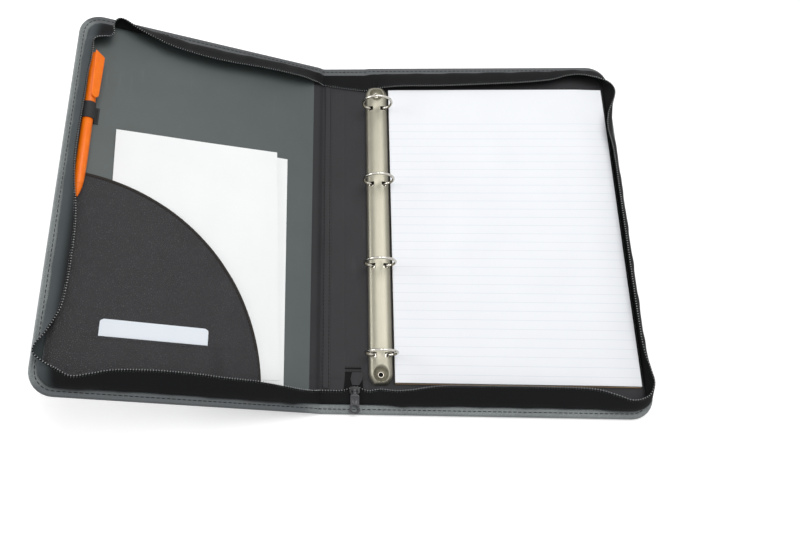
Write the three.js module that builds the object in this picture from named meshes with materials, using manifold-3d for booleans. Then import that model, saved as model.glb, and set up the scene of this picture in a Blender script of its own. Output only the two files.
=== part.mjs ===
// Zipped ring binder, lying open with its front cover leaning up on the joined zip tapes.
// Millimetres, +Z up. The origin is on the underside of the rear cover, below the middle of the rings.
// +X runs across the rear cover to its fore edge, and +Y runs along the rings to the head.
import * as THREE from "three";
import { mergeVertices } from "three/addons/utils/BufferGeometryUtils.js";
import Module from "manifold-3d";

const wasm = await Module();
wasm.setup();

// Clearances
const seat = 0.3;
const foldGap = 0.15;
const ringSlotClearance = 0.45;
const rivetClearance = 0.3;
const barrelClearance = 0.3;
const coilClearance = 0.4;
const meshClearance = 0.55;
const overcut = 1;

// Facets
const curveFacets = 10;
const postFacets = 32;
const pinFacets = 16;
const discFacets = 96;
const archFacets = 20;
const stationSpacing = 12;
const cornerSteps = 6;
const ringSteps = 26;
const wireFacets = 5;

// Covers
const coverLength = 339;
const coverWidth = 239;
const cornerRadius = 20;
const boardThickness = 2.8;
const hemWidth = 5.5;
const hemThickness = 0.8;
const liningThickness = 0.4;

// Spine and folds
const leafWidth = 20;
const leafThickness = 1.6;
const leafLiningThickness = 0.5;
const foldHeight = 0.9;
const rearFoldX = -11.5;
const sideFoldAngle = 70;
const middleFoldAngle = 180 - 2 * sideFoldAngle;
const restTilt = 24;
const seamStripWidth = 7.5;
const seamStripThickness = 0.4;

// Zip
const tapeThickness = 0.6;
const coilWidth = 2.4;
const coilThickness = 1.6;
const gussetStart = 3;
const gussetRise = 24;
const gussetFlatLean = 13;
const gussetFlatHeight = 2;
const gussetCornerReach = 34;
const gussetCornerLean = -2;
const gussetSteps = 5;
const rearLeans = { foot: 8, side: 0, head: 16 };
const frontLeans = { foot: 12, side: 8, head: 12 };
const headGussetDrop = 3.2;
const sliderLength = 9;
const sliderWidth = 7.4;
const sliderPlate = 0.9;
const sliderWall = 1.2;
const sliderFromFold = 11;
const bailDepth = 2.6;
const bailWidth = 3.2;
const bailBar = 1.1;
const pullPin = 0.65;
const pullWall = 0.55;
const pullWidth = 9.5;
const pullLength = 20;
const pullThickness = 1.6;
const pullHole = 1.6;
const pullDroop = 10;

// Ring mechanism
const plateWidth = 20;
const plateLength = 290;
const plateHeight = 7;
const plateSheet = 0.8;
const plateEndWall = 14;
const plateBulge = 0.72;
const railWidth = 8.4;
const railThickness = 1;
const railHeight = 1.7;
const railEnd = 6;
const ringPitch = 80;
const ringCount = 4;
const ringBore = 25;
const ringWire = 2.3;
const ringCentreOverPlate = 9.6;
const ringFootX = 6;
const ringFootRise = 4.8;
const ringFootFlare = 1.9;
const ringShoulder = 2;
const ringArcStart = -35;
const rivetShank = 2;
const rivetHead = 3.5;
const rivetHeadThickness = 0.7;
const dimpleTop = 6;
const dimpleFloor = 1;
const rivetFromEnd = 8.5;
const rivetDepth = 1.6;

// Contents
const padBack = 0.8;
const padSheets = 2.5;
const padFromPlate = 1.8;
const padForeGap = 2.6;
const padHeadGap = 5.2;
const padFootGap = 11;
const sheetWidth = 148;
const sheetLength = 210;
const sheetThickness = 0.2;
const nearSheet = { fromFold: 49, fromFoot: 24.6, turn: 2.6 };
const farSheet = { fromFold: 38, fromFoot: 20.1, turn: 0.7 };
const pocketRadius = 176;
const pocketThickness = 0.6;
const pocketSeam = 4;
const slotPanelThickness = 1.1;
const slotFromFoot = 48;
const cardWidth = 88;
const cardLength = 51;
const cardThickness = 0.3;
const cardFromForeEdge = 47.5;
const cardShown = 14;
const cardCorner = 3;
const cardSideClearance = 1;
const penRadius = 4.6;
const penFromForeEdge = 17;
const penFromHead = 44.3;
const penLength = 135.7;
const penTipLength = 11;
const penTipRadius = 1.1;
const penTipNarrow = 0.6;
const penCapRound = 0.3;
const penNose = 0.93;
const penSleeve = 0.86;
const clipWidth = 9.5;
const clipLength = 46;
const clipThickness = 1;
const clipRise = 1.4;
const clipTurn = 28;
const clipFromHead = 1;
const clipRootFrom = 3;
const clipRootTo = 7;
const clipRootWidth = 5;
const loopFromPenHead = 49.8;
const loopLength = 15.2;
const loopThickness = 0.6;
const loopFlange = 4;

// Sizes that follow
const rad = THREE.MathUtils.degToRad;
const boardTop = boardThickness - foldHeight;
const hemTop = boardTop + hemThickness;
const liningBase = boardTop + seat;
const liningTop = liningBase + liningThickness;
const leafTop = leafThickness - foldHeight;
const leafLiningBase = leafTop + seat;
const leafLiningTop = leafLiningBase + leafLiningThickness;
const gussetInset = hemWidth + seat + tapeThickness / 2;
const liningInset = hemWidth + 2 * seat + tapeThickness;
const closedRise = 2 * leafWidth * Math.sin(rad(sideFoldAngle));
const coilStart = seat + tapeThickness / 2;
const gussetHeight = closedRise / 2 - meshClearance - coilWidth - coilStart;
const padBase = foldHeight + liningTop + seat;
const plateBase = padBase;
const plateTop = plateBase + plateHeight;
const ringRadius = (ringBore + ringWire) / 2;
const ringCentre = plateTop + ringCentreOverPlate;
const railPivotZ = plateBase + railHeight;
const rivetY = plateLength / 2 - rivetFromEnd;
const tapeInset = gussetInset + tapeThickness / 2;
const padFrom = plateWidth / 2 + padFromPlate;
const padWidth = rearFoldX + coverWidth - tapeInset - padForeGap - padFrom;
const padHead = coverLength / 2 - tapeInset - rearLeans.head - padHeadGap;
const padFoot = tapeInset + rearLeans.foot + padFootGap - coverLength / 2;
const slotMouthY = slotFromFoot - coverLength / 2;
const cardFrom = coverWidth - cardFromForeEdge - cardWidth;
const penFrom = coverWidth - penFromForeEdge;
const penHead = coverLength / 2 - penFromHead;
const loopFoot = penHead - loopFromPenHead - loopLength;

// Finishes
const finish = (color, roughness, metalness) => () => (
  new THREE.MeshStandardMaterial({ color, roughness, metalness })
);
const greyCover = finish(0x707474, 0.6, 0);
const blackCloth = finish(0x1f2022, 0.85, 0);
const blackGrain = finish(0x2b2b2d, 0.6, 0);
const greenLining = finish(0x58625f, 0.7, 0);
const nickel = finish(0xb9b6ae, 0.25, 1);
const blackMetal = finish(0x18181a, 0.4, 0.6);
const coilPlastic = finish(0x141416, 0.5, 0);
const paper = finish(0xf2f2ef, 0.9, 0);
const brownCard = finish(0xa58d6f, 0.9, 0);
const orangePlastic = finish(0xef6a1c, 0.35, 0);

// Solids
function bare(geometry) {
  const copy = geometry.clone();
  copy.deleteAttribute("normal");
  copy.deleteAttribute("uv");
  return mergeVertices(copy, 1e-4);
}

function toSolid(geometry) {
  const mesh = bare(geometry);
  return new wasm.Manifold(new wasm.Mesh({
    numProp: 3,
    vertProperties: new Float32Array(mesh.attributes.position.array),
    triVerts: new Uint32Array(mesh.index.array),
  }));
}

function toGeometry(solid) {
  const mesh = solid.getMesh();
  const geometry = new THREE.BufferGeometry();
  geometry.setAttribute("position", new THREE.BufferAttribute(new Float32Array(mesh.vertProperties), 3));
  geometry.setIndex(new THREE.BufferAttribute(new Uint32Array(mesh.triVerts), 1));
  return geometry;
}

function cut(geometry, ...tools) {
  return toGeometry(tools.reduce((solid, tool) => solid.subtract(toSolid(tool)), toSolid(geometry)));
}

function join(geometry, ...others) {
  return toGeometry(others.reduce((solid, other) => solid.add(toSolid(other)), toSolid(geometry)));
}

function common(geometry, other) {
  return toGeometry(toSolid(geometry).intersect(toSolid(other)));
}

// The same piece on the other side of the plane x = 0.
function mirrored(geometry) {
  const copy = bare(geometry).toNonIndexed();
  copy.scale(-1, 1, 1);
  const points = copy.attributes.position;
  const a = new THREE.Vector3();
  const b = new THREE.Vector3();
  for (let i = 0; i < points.count; i += 3) {
    a.fromBufferAttribute(points, i + 1);
    b.fromBufferAttribute(points, i + 2);
    points.setXYZ(i + 1, b.x, b.y, b.z);
    points.setXYZ(i + 2, a.x, a.y, a.z);
  }
  return bare(copy);
}

const onSide = (side, geometry) => (side < 0 ? mirrored(geometry) : geometry);

// A plan outline raised from one height to another.
function slab(shape, low, high, curveSegments = curveFacets) {
  const drawn = { depth: high - low, bevelEnabled: false, curveSegments };
  return new THREE.ExtrudeGeometry(shape, drawn).translate(0, 0, low);
}

// An outline of points (x, z) drawn along Y.
function alongY(points, low, high) {
  const shape = new THREE.Shape(points.map(([x, z]) => new THREE.Vector2(x, z)));
  const geometry = new THREE.ExtrudeGeometry(shape, { depth: high - low, bevelEnabled: false });
  return geometry.rotateX(Math.PI / 2).translate(0, high, 0);
}

// An outline of points (y, z) drawn along X.
function alongX(points, low, high) {
  const shape = new THREE.Shape(points.map(([y, z]) => new THREE.Vector2(y, z)));
  const geometry = new THREE.ExtrudeGeometry(shape, { depth: high - low, bevelEnabled: false });
  return geometry.rotateX(Math.PI / 2).rotateZ(Math.PI / 2).translate(low, 0, 0);
}

function block(x0, x1, y0, y1, z0, z1) {
  const geometry = new THREE.BoxGeometry(x1 - x0, y1 - y0, z1 - z0);
  return geometry.translate((x0 + x1) / 2, (y0 + y1) / 2, (z0 + z1) / 2);
}

// A round post on the Z axis, wider or narrower at its top.
function post(low, high, radius, topRadius = radius, sides = postFacets) {
  const geometry = new THREE.CylinderGeometry(topRadius, radius, high - low, sides);
  return geometry.rotateX(Math.PI / 2).translate(0, 0, (low + high) / 2);
}

// A skin through a row of cross-sections, each a closed loop: an outer row of points, then the inner row.
function loft(sections) {
  const size = sections[0].length;
  const half = size / 2;
  const points = sections.flat();
  const faces = [];
  const quad = (a, b, c, d) => faces.push(a, c, b, a, d, c);
  for (let s = 0; s + 1 < sections.length; s += 1) {
    for (let i = 0; i < size; i += 1) {
      const j = (i + 1) % size;
      quad(s * size + i, s * size + j, (s + 1) * size + j, (s + 1) * size + i);
    }
  }
  const last = (sections.length - 1) * size;
  for (let i = 0; i + 1 < half; i += 1) {
    quad(size - 1 - i, size - 2 - i, i + 1, i);
    quad(last + i, last + i + 1, last + size - 2 - i, last + size - 1 - i);
  }
  const geometry = new THREE.BufferGeometry();
  geometry.setAttribute("position", new THREE.Float32BufferAttribute(points.flatMap((p) => p.toArray()), 3));
  geometry.setIndex(faces);
  return geometry;
}

// Covers. Each is drawn from its fold at x = 0 to its fore edge, with z = 0 at the height of the fold.
function coverShape(inset, start) {
  const half = coverLength / 2 - inset;
  const far = coverWidth - inset;
  const radius = cornerRadius - inset;
  const shape = new THREE.Shape();
  shape.moveTo(start, -half);
  shape.lineTo(far - radius, -half);
  shape.absarc(far - radius, radius - half, radius, -Math.PI / 2, 0);
  shape.absarc(far - radius, half - radius, radius, 0, Math.PI / 2);
  shape.lineTo(start, half);
  return shape;
}

// What is cut back above a fold at x = 0 so that two neighbours can turn towards each other.
function foldRelief(angle, length) {
  const slope = Math.tan(rad(angle / 2));
  const reach = 2 * cornerRadius;
  const profile = [[-reach, 0], [foldGap, 0], [foldGap + reach * slope, reach], [-reach, reach]];
  return alongY(profile, -length, length);
}

const sideRelief = foldRelief(sideFoldAngle, coverLength);

function coverShell() {
  const board = slab(coverShape(0, foldGap), -foldHeight, hemTop);
  const tray = slab(coverShape(hemWidth, -leafWidth), boardTop, hemTop + overcut);
  return cut(board, tray, sideRelief);
}

function coverLining() {
  return cut(slab(coverShape(liningInset, foldGap), liningBase, liningTop), sideRelief);
}

const smooth = (t) => t * t * (3 - 2 * t);
const mix = THREE.MathUtils.lerp;
const ramp = (t) => smooth(THREE.MathUtils.clamp(t, 0, 1));

// Where the tape stands along the foot, the fore edge and the head, with its inward direction there.
function gussetStations(leans) {
  const half = coverLength / 2 - gussetInset;
  const far = coverWidth - gussetInset;
  const radius = cornerRadius - gussetInset;
  const stations = [];
  const run = (from, to, inward, lean, drop, risesFrom) => {
    const length = from.distanceTo(to);
    const count = Math.round(length / stationSpacing);
    for (let i = 0; i <= count; i += 1) {
      const along = (length * i) / count;
      const left = length - along;
      const toFirstCorner = risesFrom === "start" ? Infinity : along;
      const toLastCorner = risesFrom === "end" ? Infinity : left;
      const toCorner = Math.min(toFirstCorner, toLastCorner);
      const toFold = { start: along, end: left, none: Infinity }[risesFrom];
      const straight = ramp(toCorner / gussetCornerReach);
      stations.push({
        at: from.clone().lerp(to, i / count),
        inward,
        lean: mix(gussetCornerLean, lean, straight),
        height: gussetHeight - drop * straight,
        rise: ramp(toFold / gussetRise),
      });
    }
  };
  const corner = (centre, start) => {
    for (let i = 1; i < cornerSteps; i += 1) {
      const angle = start + (i / cornerSteps) * (Math.PI / 2);
      const outward = new THREE.Vector2(Math.cos(angle), Math.sin(angle));
      stations.push({
        at: centre.clone().addScaledVector(outward, radius),
        inward: outward.clone().negate(),
        lean: gussetCornerLean,
        height: gussetHeight,
        rise: 1,
      });
    }
  };
  const point = (x, y) => new THREE.Vector2(x, y);
  run(point(gussetStart, -half), point(far - radius, -half), point(0, 1), leans.foot, 0, "start");
  corner(point(far - radius, radius - half), -Math.PI / 2);
  run(point(far, radius - half), point(far, half - radius), point(-1, 0), leans.side, 0, "none");
  corner(point(far - radius, half - radius), 0);
  run(point(far - radius, half), point(gussetStart, half), point(0, -1), leans.head, headGussetDrop, "end");
  return stations;
}

// The tape's middle line at a station, as points (inward, height), from its seam to the coil.
function tapeLine(station) {
  const lean = mix(gussetFlatLean, station.lean, station.rise);
  const height = mix(liningBase + gussetFlatHeight, station.height, station.rise);
  const line = [];
  for (let i = 0; i <= gussetSteps; i += 1) {
    const t = i / gussetSteps;
    const inward = lean * mix(t * t, smooth(t) * t, station.rise);
    const up = (height - liningBase) * mix(1 - (1 - t) ** 6, t, station.rise);
    line.push(new THREE.Vector2(inward, liningBase + up));
  }
  return line;
}

// A closed section of a given thickness round a line of points (inward, height).
function sectionRound(line, thickness, station) {
  const outer = [];
  const inner = [];
  line.forEach((p, i) => {
    const before = line[Math.max(i - 1, 0)];
    const after = line[Math.min(i + 1, line.length - 1)];
    const along = after.clone().sub(before).normalize();
    const across = new THREE.Vector2(along.y, -along.x).multiplyScalar(thickness / 2);
    outer.push(p.clone().sub(across));
    inner.push(p.clone().add(across));
  });
  const place = (p) => new THREE.Vector3(
    station.at.x + station.inward.x * p.x,
    station.at.y + station.inward.y * p.x,
    p.y,
  );
  return [...outer.map(place), ...inner.reverse().map(place)];
}

function gusset(leans) {
  const stations = gussetStations(leans);
  return loft(stations.map((station) => sectionRound(tapeLine(station), tapeThickness, station)));
}

function coil(leans) {
  const sections = gussetStations(leans).map((station) => {
    const edge = tapeLine(station).at(-1);
    const turn = station.rise * (Math.PI / 2);
    const way = new THREE.Vector2(Math.cos(turn), Math.sin(turn));
    const line = [coilStart, coilStart + coilWidth].map((reach) => edge.clone().addScaledVector(way, reach));
    return sectionRound(line, coilThickness, station);
  });
  return loft(sections);
}

// Spine leaves. Each is drawn from x = 0 to x = -leafWidth, with z = 0 at the height of the folds.
function leafCut(geometry, rightAngle, leftAngle) {
  const right = mirrored(foldRelief(rightAngle, coverLength));
  const left = foldRelief(leftAngle, coverLength).translate(-leafWidth, 0, 0);
  return cut(geometry, right, left);
}

function leafShell(rightAngle, leftAngle) {
  const half = coverLength / 2;
  const left = foldGap - leafWidth;
  const body = block(left, -foldGap, -half, half, -foldHeight, leafLiningTop);
  const tray = block(-leafWidth, 0, hemWidth - half, half - hemWidth, leafTop, leafLiningTop + overcut);
  return leafCut(cut(body, tray), rightAngle, leftAngle);
}

function leafLining(rightAngle, leftAngle) {
  const half = coverLength / 2 - liningInset;
  const left = foldGap - leafWidth;
  return leafCut(block(left, -foldGap, -half, half, leafLiningBase, leafLiningTop), rightAngle, leftAngle);
}

// The tape folded down across a leaf, at its foot (end -1) or its head (end 1), with its coil along its edge.
const flapHeight = leafLiningBase + gussetFlatHeight + tapeThickness;

function leafFlap(end, rightAngle, leftAngle) {
  const base = coverLength / 2 - gussetInset;
  const t = tapeThickness;
  const outer = [[0, leafLiningBase], [0, flapHeight], [gussetFlatLean, flapHeight]];
  const inner = [[gussetFlatLean, flapHeight - t], [t, flapHeight - t], [t, leafLiningBase]];
  const outline = [...outer, ...inner].map(([inward, h]) => [end * (base + t / 2 - inward), h]);
  return leafCut(alongX(outline, foldGap - leafWidth, -foldGap), rightAngle, leftAngle);
}

const coilMiddle = flapHeight - tapeThickness / 2;
const coilEdge = coverLength / 2 - gussetInset + tapeThickness / 2 - gussetFlatLean - seat;

function leafCoil(end, rightAngle, leftAngle) {
  const [y0, y1] = [end * coilEdge, end * (coilEdge - coilWidth)].sort((a, b) => a - b);
  const low = coilMiddle - coilThickness / 2;
  const bar = block(foldGap - leafWidth, -foldGap, y0, y1, low, low + coilThickness);
  return leafCut(bar, rightAngle, leftAngle);
}

// Zip slider at the foot of the rear leaf, and its pull lying outwards over the hem.
const sliderFloor = coilMiddle - coilThickness / 2 - coilClearance;
const sliderCeiling = coilMiddle + coilThickness / 2 + coilClearance;
const sliderTop = sliderCeiling + sliderPlate;
const sliderInnerY = -coilEdge + coilWidth + coilClearance + sliderWall;
const sliderY = sliderInnerY - sliderWidth / 2;
const pullBarrel = pullPin + seat / 2 + pullWall;
const pullAxisZ = sliderTop + pullBarrel + seat;
const bailTop = pullAxisZ + pullPin + bailBar / 2;

function slider() {
  const half = sliderLength / 2;
  const nose = sliderWidth / 4;
  const shape = new THREE.Shape();
  shape.moveTo(-half, sliderY - sliderWidth / 2 + nose);
  shape.lineTo(nose - half, sliderY - sliderWidth / 2);
  shape.lineTo(half - nose, sliderY - sliderWidth / 2);
  shape.lineTo(half, sliderY - sliderWidth / 2 + nose);
  shape.lineTo(half, sliderInnerY);
  shape.lineTo(-half, sliderInnerY);
  const body = slab(shape, sliderFloor - sliderPlate / 2, sliderTop);
  const channelLow = sliderY - sliderWidth;
  const channelHigh = sliderInnerY - sliderWall;
  const channel = block(-sliderLength, sliderLength, channelLow, channelHigh, sliderFloor, sliderCeiling);
  const ear = (side) => block(
    side > 0 ? bailWidth / 2 : -bailWidth / 2 - bailBar,
    side > 0 ? bailWidth / 2 + bailBar : -bailWidth / 2,
    sliderY - bailDepth / 2,
    sliderY + bailDepth / 2,
    sliderTop - seat,
    bailTop,
  );
  const pinEnd = (bailWidth + bailBar) / 2;
  const pin = post(-pinEnd, pinEnd, pullPin, pullPin, pinFacets).rotateY(Math.PI / 2);
  pin.translate(0, sliderY, pullAxisZ);
  return join(cut(body, channel), ear(-1), ear(1), pin);
}

// Drawn with its pin hole on the origin, reaching along -Y.
function pull() {
  const half = pullWidth / 2;
  const neck = bailWidth / 2 - seat;
  const shape = new THREE.Shape();
  const shoulder = bailDepth / 2 + bailBar;
  shape.moveTo(-neck, 0);
  shape.lineTo(-neck, -shoulder);
  shape.lineTo(-half, -shoulder - bailBar);
  shape.lineTo(-half, half - pullLength);
  shape.absarc(0, half - pullLength, half, Math.PI, 2 * Math.PI);
  shape.lineTo(half, -shoulder - bailBar);
  shape.lineTo(neck, -shoulder);
  shape.lineTo(neck, 0);
  const hole = new THREE.Path();
  hole.absarc(0, half - pullLength, pullHole, 0, 2 * Math.PI, true);
  shape.holes.push(hole);
  const boreRadius = pullPin + seat / 2;
  const barrel = post(-neck, neck, pullBarrel, pullBarrel, pinFacets).rotateY(Math.PI / 2);
  const bore = post(-half, half, boreRadius, boreRadius, pinFacets).rotateY(Math.PI / 2);
  return cut(join(slab(shape, -pullThickness / 2, pullThickness / 2), barrel), bore);
}

// Ring mechanism, in the binder's own frame
function plateArch(width, height, low) {
  const points = [];
  for (let i = 0; i <= archFacets; i += 1) {
    const angle = (Math.PI * i) / archFacets;
    const across = Math.cos(angle);
    const x = Math.sign(across) * Math.abs(across) ** plateBulge * (width / 2);
    points.push([x, plateBase + height * Math.sin(angle) ** plateBulge]);
  }
  if (low < plateBase) {
    points.push([-width / 2, low], [width / 2, low]);
  }
  return points;
}

function stadium(width, length) {
  const radius = width / 2;
  const shape = new THREE.Shape();
  shape.absarc(0, length / 2 - radius, radius, 0, Math.PI);
  shape.absarc(0, radius - length / 2, radius, Math.PI, 2 * Math.PI);
  return shape;
}

const ringPlaces = Array.from({ length: ringCount }, (_, i) => ((ringCount - 1) / 2 - i) * ringPitch);

function ringPlate() {
  const outline = slab(stadium(plateWidth, plateLength), 0, plateTop + overcut);
  const arch = alongY(plateArch(plateWidth, plateHeight, plateBase), -plateLength, plateLength);
  const outer = common(arch, outline);
  const hollowEnd = plateLength / 2 - plateEndWall;
  const inner = plateArch(plateWidth - 2 * plateSheet, plateHeight - plateSheet, 0);
  const slots = ringPlaces.flatMap((y) => [-1, 1].map((side) => {
    const wire = ringWire / 2 + ringSlotClearance;
    const [x0, x1] = [side * (ringFootX - wire), side * (plateWidth / 2 - plateSheet)].sort((a, b) => a - b);
    return block(x0, x1, y - wire, y + wire, plateBase + railHeight + railThickness, plateTop + overcut);
  }));
  const dimples = [-1, 1].flatMap((end) => [
    post(plateBase + dimpleFloor, plateTop, rivetHead + seat, dimpleTop).translate(0, end * rivetY, 0),
    post(0, plateTop, rivetShank + rivetClearance).translate(0, end * rivetY, 0),
  ]);
  return cut(outer, alongY(inner, -hollowEnd, hollowEnd), ...slots, ...dimples);
}

// The rail on the right, and its mirror image on the left.
function rail() {
  const end = plateLength / 2 - plateEndWall - railEnd;
  const low = railPivotZ - railThickness / 2;
  return block(foldGap, foldGap + railWidth, -end, end, low, low + railThickness);
}

// The right half of a ring, round the middle of the row, from its foot on the rail to its tip.
function halfRing() {
  const railTop = railPivotZ + railThickness / 2 + seat;
  const footTop = plateBase + ringFootRise;
  const shoulder = [ringFootX + ringFootFlare, footTop + ringShoulder];
  const points = [[ringFootX, railTop], [ringFootX, footTop], shoulder];
  for (let i = 0; i <= curveFacets; i += 1) {
    const angle = rad(mix(ringArcStart, 90, i / curveFacets));
    const x = Math.max(ringRadius * Math.cos(angle), foldGap);
    points.push([x, ringCentre + ringRadius * Math.sin(angle)]);
  }
  const middle = points.map(([x, z]) => new THREE.Vector3(x, 0, z));
  const extrudePath = new THREE.CatmullRomCurve3(middle, false, "centripetal");
  const section = new THREE.Shape();
  section.absarc(0, 0, ringWire / 2, 0, 2 * Math.PI);
  const drawn = { steps: ringSteps, curveSegments: wireFacets, bevelEnabled: false, extrudePath };
  return new THREE.ExtrudeGeometry(section, drawn);
}

function rivet() {
  const headLow = plateBase + dimpleFloor + seat;
  const shank = post(foldHeight + boardTop - rivetDepth + seat, headLow + rivetHeadThickness, rivetShank);
  const head = post(headLow, headLow + rivetHeadThickness, rivetHead, rivetHead - seat);
  return join(shank, head);
}

const rivetHoles = [-1, 1].map((end) => {
  const low = foldHeight + boardTop - rivetDepth;
  return post(low, plateTop, rivetShank + rivetClearance).translate(0, end * rivetY, 0);
});

// Pieces carried by the front cover, drawn on a rear cover's plan and then mirrored with it.
const pocketBase = liningTop + 2 * (sheetThickness + seat) + seat;
const pocketTop = pocketBase + pocketThickness;
const cornerU = coverWidth - liningInset - tapeThickness;
const cornerY = liningInset + tapeThickness - coverLength / 2;
const cardBase = pocketTop + seat;
const cardTop = cardBase + cardThickness;
const slotPanelTop = pocketTop + seat + slotPanelThickness;

function pocketOutline(inset) {
  return coverShape(liningInset + tapeThickness + inset, 0);
}

function pocketDisc(radius) {
  return post(-cornerRadius, cornerRadius, radius, radius, discFacets).translate(cornerU, cornerY, 0);
}

function pocketPanel() {
  const panel = slab(pocketOutline(0), liningTop + seat, pocketTop);
  const mouth = slab(pocketOutline(pocketSeam), 0, pocketBase);
  return common(cut(panel, mouth), pocketDisc(pocketRadius));
}

function slotPanel() {
  const whole = slab(pocketOutline(0), pocketTop + seat, slotPanelTop);
  const below = block(0, coverWidth, -coverLength, slotMouthY, 0, cornerRadius);
  const side = cardSideClearance;
  const cavity = block(
    cardFrom - side,
    cardFrom + cardWidth + side,
    slotMouthY - cardLength + cardShown - side,
    slotMouthY + overcut,
    pocketTop,
    cardTop + seat,
  );
  return cut(common(common(whole, below), pocketDisc(pocketRadius)), cavity);
}

function card() {
  const foot = slotMouthY - cardLength + cardShown;
  const head = slotMouthY + cardShown;
  const shape = new THREE.Shape();
  shape.moveTo(cardFrom, foot);
  shape.lineTo(cardFrom + cardWidth, foot);
  shape.absarc(cardFrom + cardWidth - cardCorner, head - cardCorner, cardCorner, 0, Math.PI / 2);
  shape.absarc(cardFrom + cardCorner, head - cardCorner, cardCorner, Math.PI / 2, Math.PI);
  return slab(shape, cardBase, cardTop);
}

function looseSheet(place, low) {
  const sheet = block(0, sheetWidth, -sheetLength, 0, low, low + sheetThickness);
  const head = place.fromFoot - coverLength / 2 + sheetLength;
  return sheet.rotateZ(-rad(place.turn)).translate(place.fromFold, head, 0);
}

const penHeight = pocketTop + seat + penRadius;

// A round piece of the pen, from a profile of points (radius, distance from the pen's head).
function penPiece(profile) {
  const lathe = new THREE.LatheGeometry(profile.map(([x, y]) => new THREE.Vector2(x, y)), postFacets);
  return lathe.rotateX(Math.PI).translate(penFrom, penHead, penHeight);
}

function penBarrel() {
  const length = penLength - penTipLength;
  const r = penRadius;
  const round = r * penCapRound;
  const nose = [[r, length - round], [r * penNose, length], [0, length]];
  return penPiece([[0, 0], [r - round, 0], [r, round], ...nose]);
}

function penTip() {
  const base = penLength - penTipLength + seat;
  const r = penRadius * penSleeve;
  const point = [[penTipRadius, penLength - penTipRadius], [penTipRadius * penTipNarrow, penLength]];
  return penPiece([[0, base], [r, base], ...point, [0, penLength]]);
}

// Drawn over the pen's axis, and then turned round it towards the fold.
function penClip() {
  const half = clipWidth / 2;
  const shape = new THREE.Shape();
  shape.moveTo(-half, penHead - clipFromHead);
  shape.lineTo(-half, penHead - clipLength + half);
  shape.absarc(0, penHead - clipLength + half, half, Math.PI, 2 * Math.PI);
  shape.lineTo(half, penHead - clipFromHead);
  const barTop = penRadius + clipRise + clipThickness;
  const bar = slab(shape, penRadius + clipRise, barTop);
  const rootHalf = clipRootWidth / 2;
  const rootLow = penHead - clipRootTo;
  const rootHigh = penHead - clipRootFrom;
  const root = block(-rootHalf, rootHalf, rootLow, rootHigh, penRadius + seat, barTop);
  return join(bar, root).rotateY(-rad(clipTurn)).translate(penFrom, 0, penHeight);
}

function penLoop() {
  const inner = penRadius + barrelClearance;
  const outer = inner + loopThickness;
  const low = liningTop + seat;
  const arc = (radius, from, to) => Array.from({ length: curveFacets + 1 }, (_, i) => {
    const angle = rad(mix(from, to, i / curveFacets));
    return [penFrom + radius * Math.cos(angle), penHeight + radius * Math.sin(angle)];
  });
  const outline = [
    [penFrom - outer - loopFlange, low],
    [penFrom - inner, low],
    ...arc(inner, 180, 0),
    [penFrom + inner, low],
    [penFrom + outer, low],
    ...arc(outer, 0, 180),
    [penFrom - outer, low + loopThickness],
    [penFrom - outer - loopFlange, low + loopThickness],
  ];
  return alongY(outline, loopFoot, loopFoot + loopLength);
}

// Assembly
const binder = new THREE.Group();

function add(group, name, geometry, material) {
  const mesh = new THREE.Mesh(geometry, material());
  geometry.computeVertexNormals();
  mesh.name = name;
  group.add(mesh);
  return mesh;
}

const rearCover = new THREE.Group();
rearCover.position.set(rearFoldX, 0, foldHeight);
const rearSet = rivetHoles.map((hole) => hole.translate(-rearFoldX, 0, -foldHeight));
add(rearCover, "rear_cover", cut(coverShell(), ...rearSet), greyCover);
add(rearCover, "rear_lining", cut(coverLining(), ...rearSet), blackCloth);
add(rearCover, "rear_gusset", gusset(rearLeans), blackCloth);
add(rearCover, "rear_zip_coil", coil(rearLeans), coilPlastic);

const rearLeaf = new THREE.Group();
rearLeaf.position.set(rearFoldX, 0, foldHeight);
const rearLeafFolds = [sideFoldAngle, middleFoldAngle];
add(rearLeaf, "spine_rear_leaf", leafShell(...rearLeafFolds), greyCover);
add(rearLeaf, "spine_rear_lining", leafLining(...rearLeafFolds), blackCloth);
add(rearLeaf, "spine_rear_foot_flap", leafFlap(-1, ...rearLeafFolds), blackCloth);
add(rearLeaf, "spine_rear_head_flap", leafFlap(1, ...rearLeafFolds), blackCloth);
add(rearLeaf, "spine_rear_foot_coil", leafCoil(-1, ...rearLeafFolds), coilPlastic);
add(rearLeaf, "spine_rear_head_coil", leafCoil(1, ...rearLeafFolds), coilPlastic);
add(rearLeaf, "zip_slider", slider().translate(-sliderFromFold, 0, 0), blackMetal);
const zipPull = add(rearLeaf, "zip_pull", pull(), blackMetal);
zipPull.position.set(-sliderFromFold, sliderY, pullAxisZ);
zipPull.rotation.x = rad(pullDroop);

const frontLeaf = new THREE.Group();
frontLeaf.position.set(rearFoldX - leafWidth, 0, foldHeight);
const frontLeafFolds = [middleFoldAngle, sideFoldAngle];
add(frontLeaf, "spine_front_leaf", leafShell(...frontLeafFolds), greyCover);
add(frontLeaf, "spine_front_lining", leafLining(...frontLeafFolds), blackCloth);
add(frontLeaf, "spine_front_foot_flap", leafFlap(-1, ...frontLeafFolds), blackCloth);
add(frontLeaf, "spine_front_head_flap", leafFlap(1, ...frontLeafFolds), blackCloth);
add(frontLeaf, "spine_front_foot_coil", leafCoil(-1, ...frontLeafFolds), coilPlastic);
add(frontLeaf, "spine_front_head_coil", leafCoil(1, ...frontLeafFolds), coilPlastic);
const stripEnd = -sliderInnerY - 2 * seat;
const stripLow = leafLiningTop + seat;
const stripFrom = foldGap - leafWidth;
const stripTop = stripLow + seamStripThickness;
const strip = block(stripFrom, stripFrom + seamStripWidth, -stripEnd, stripEnd, stripLow, stripTop);
add(frontLeaf, "spine_seam_strip", leafCut(strip, ...frontLeafFolds), blackCloth);

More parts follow.
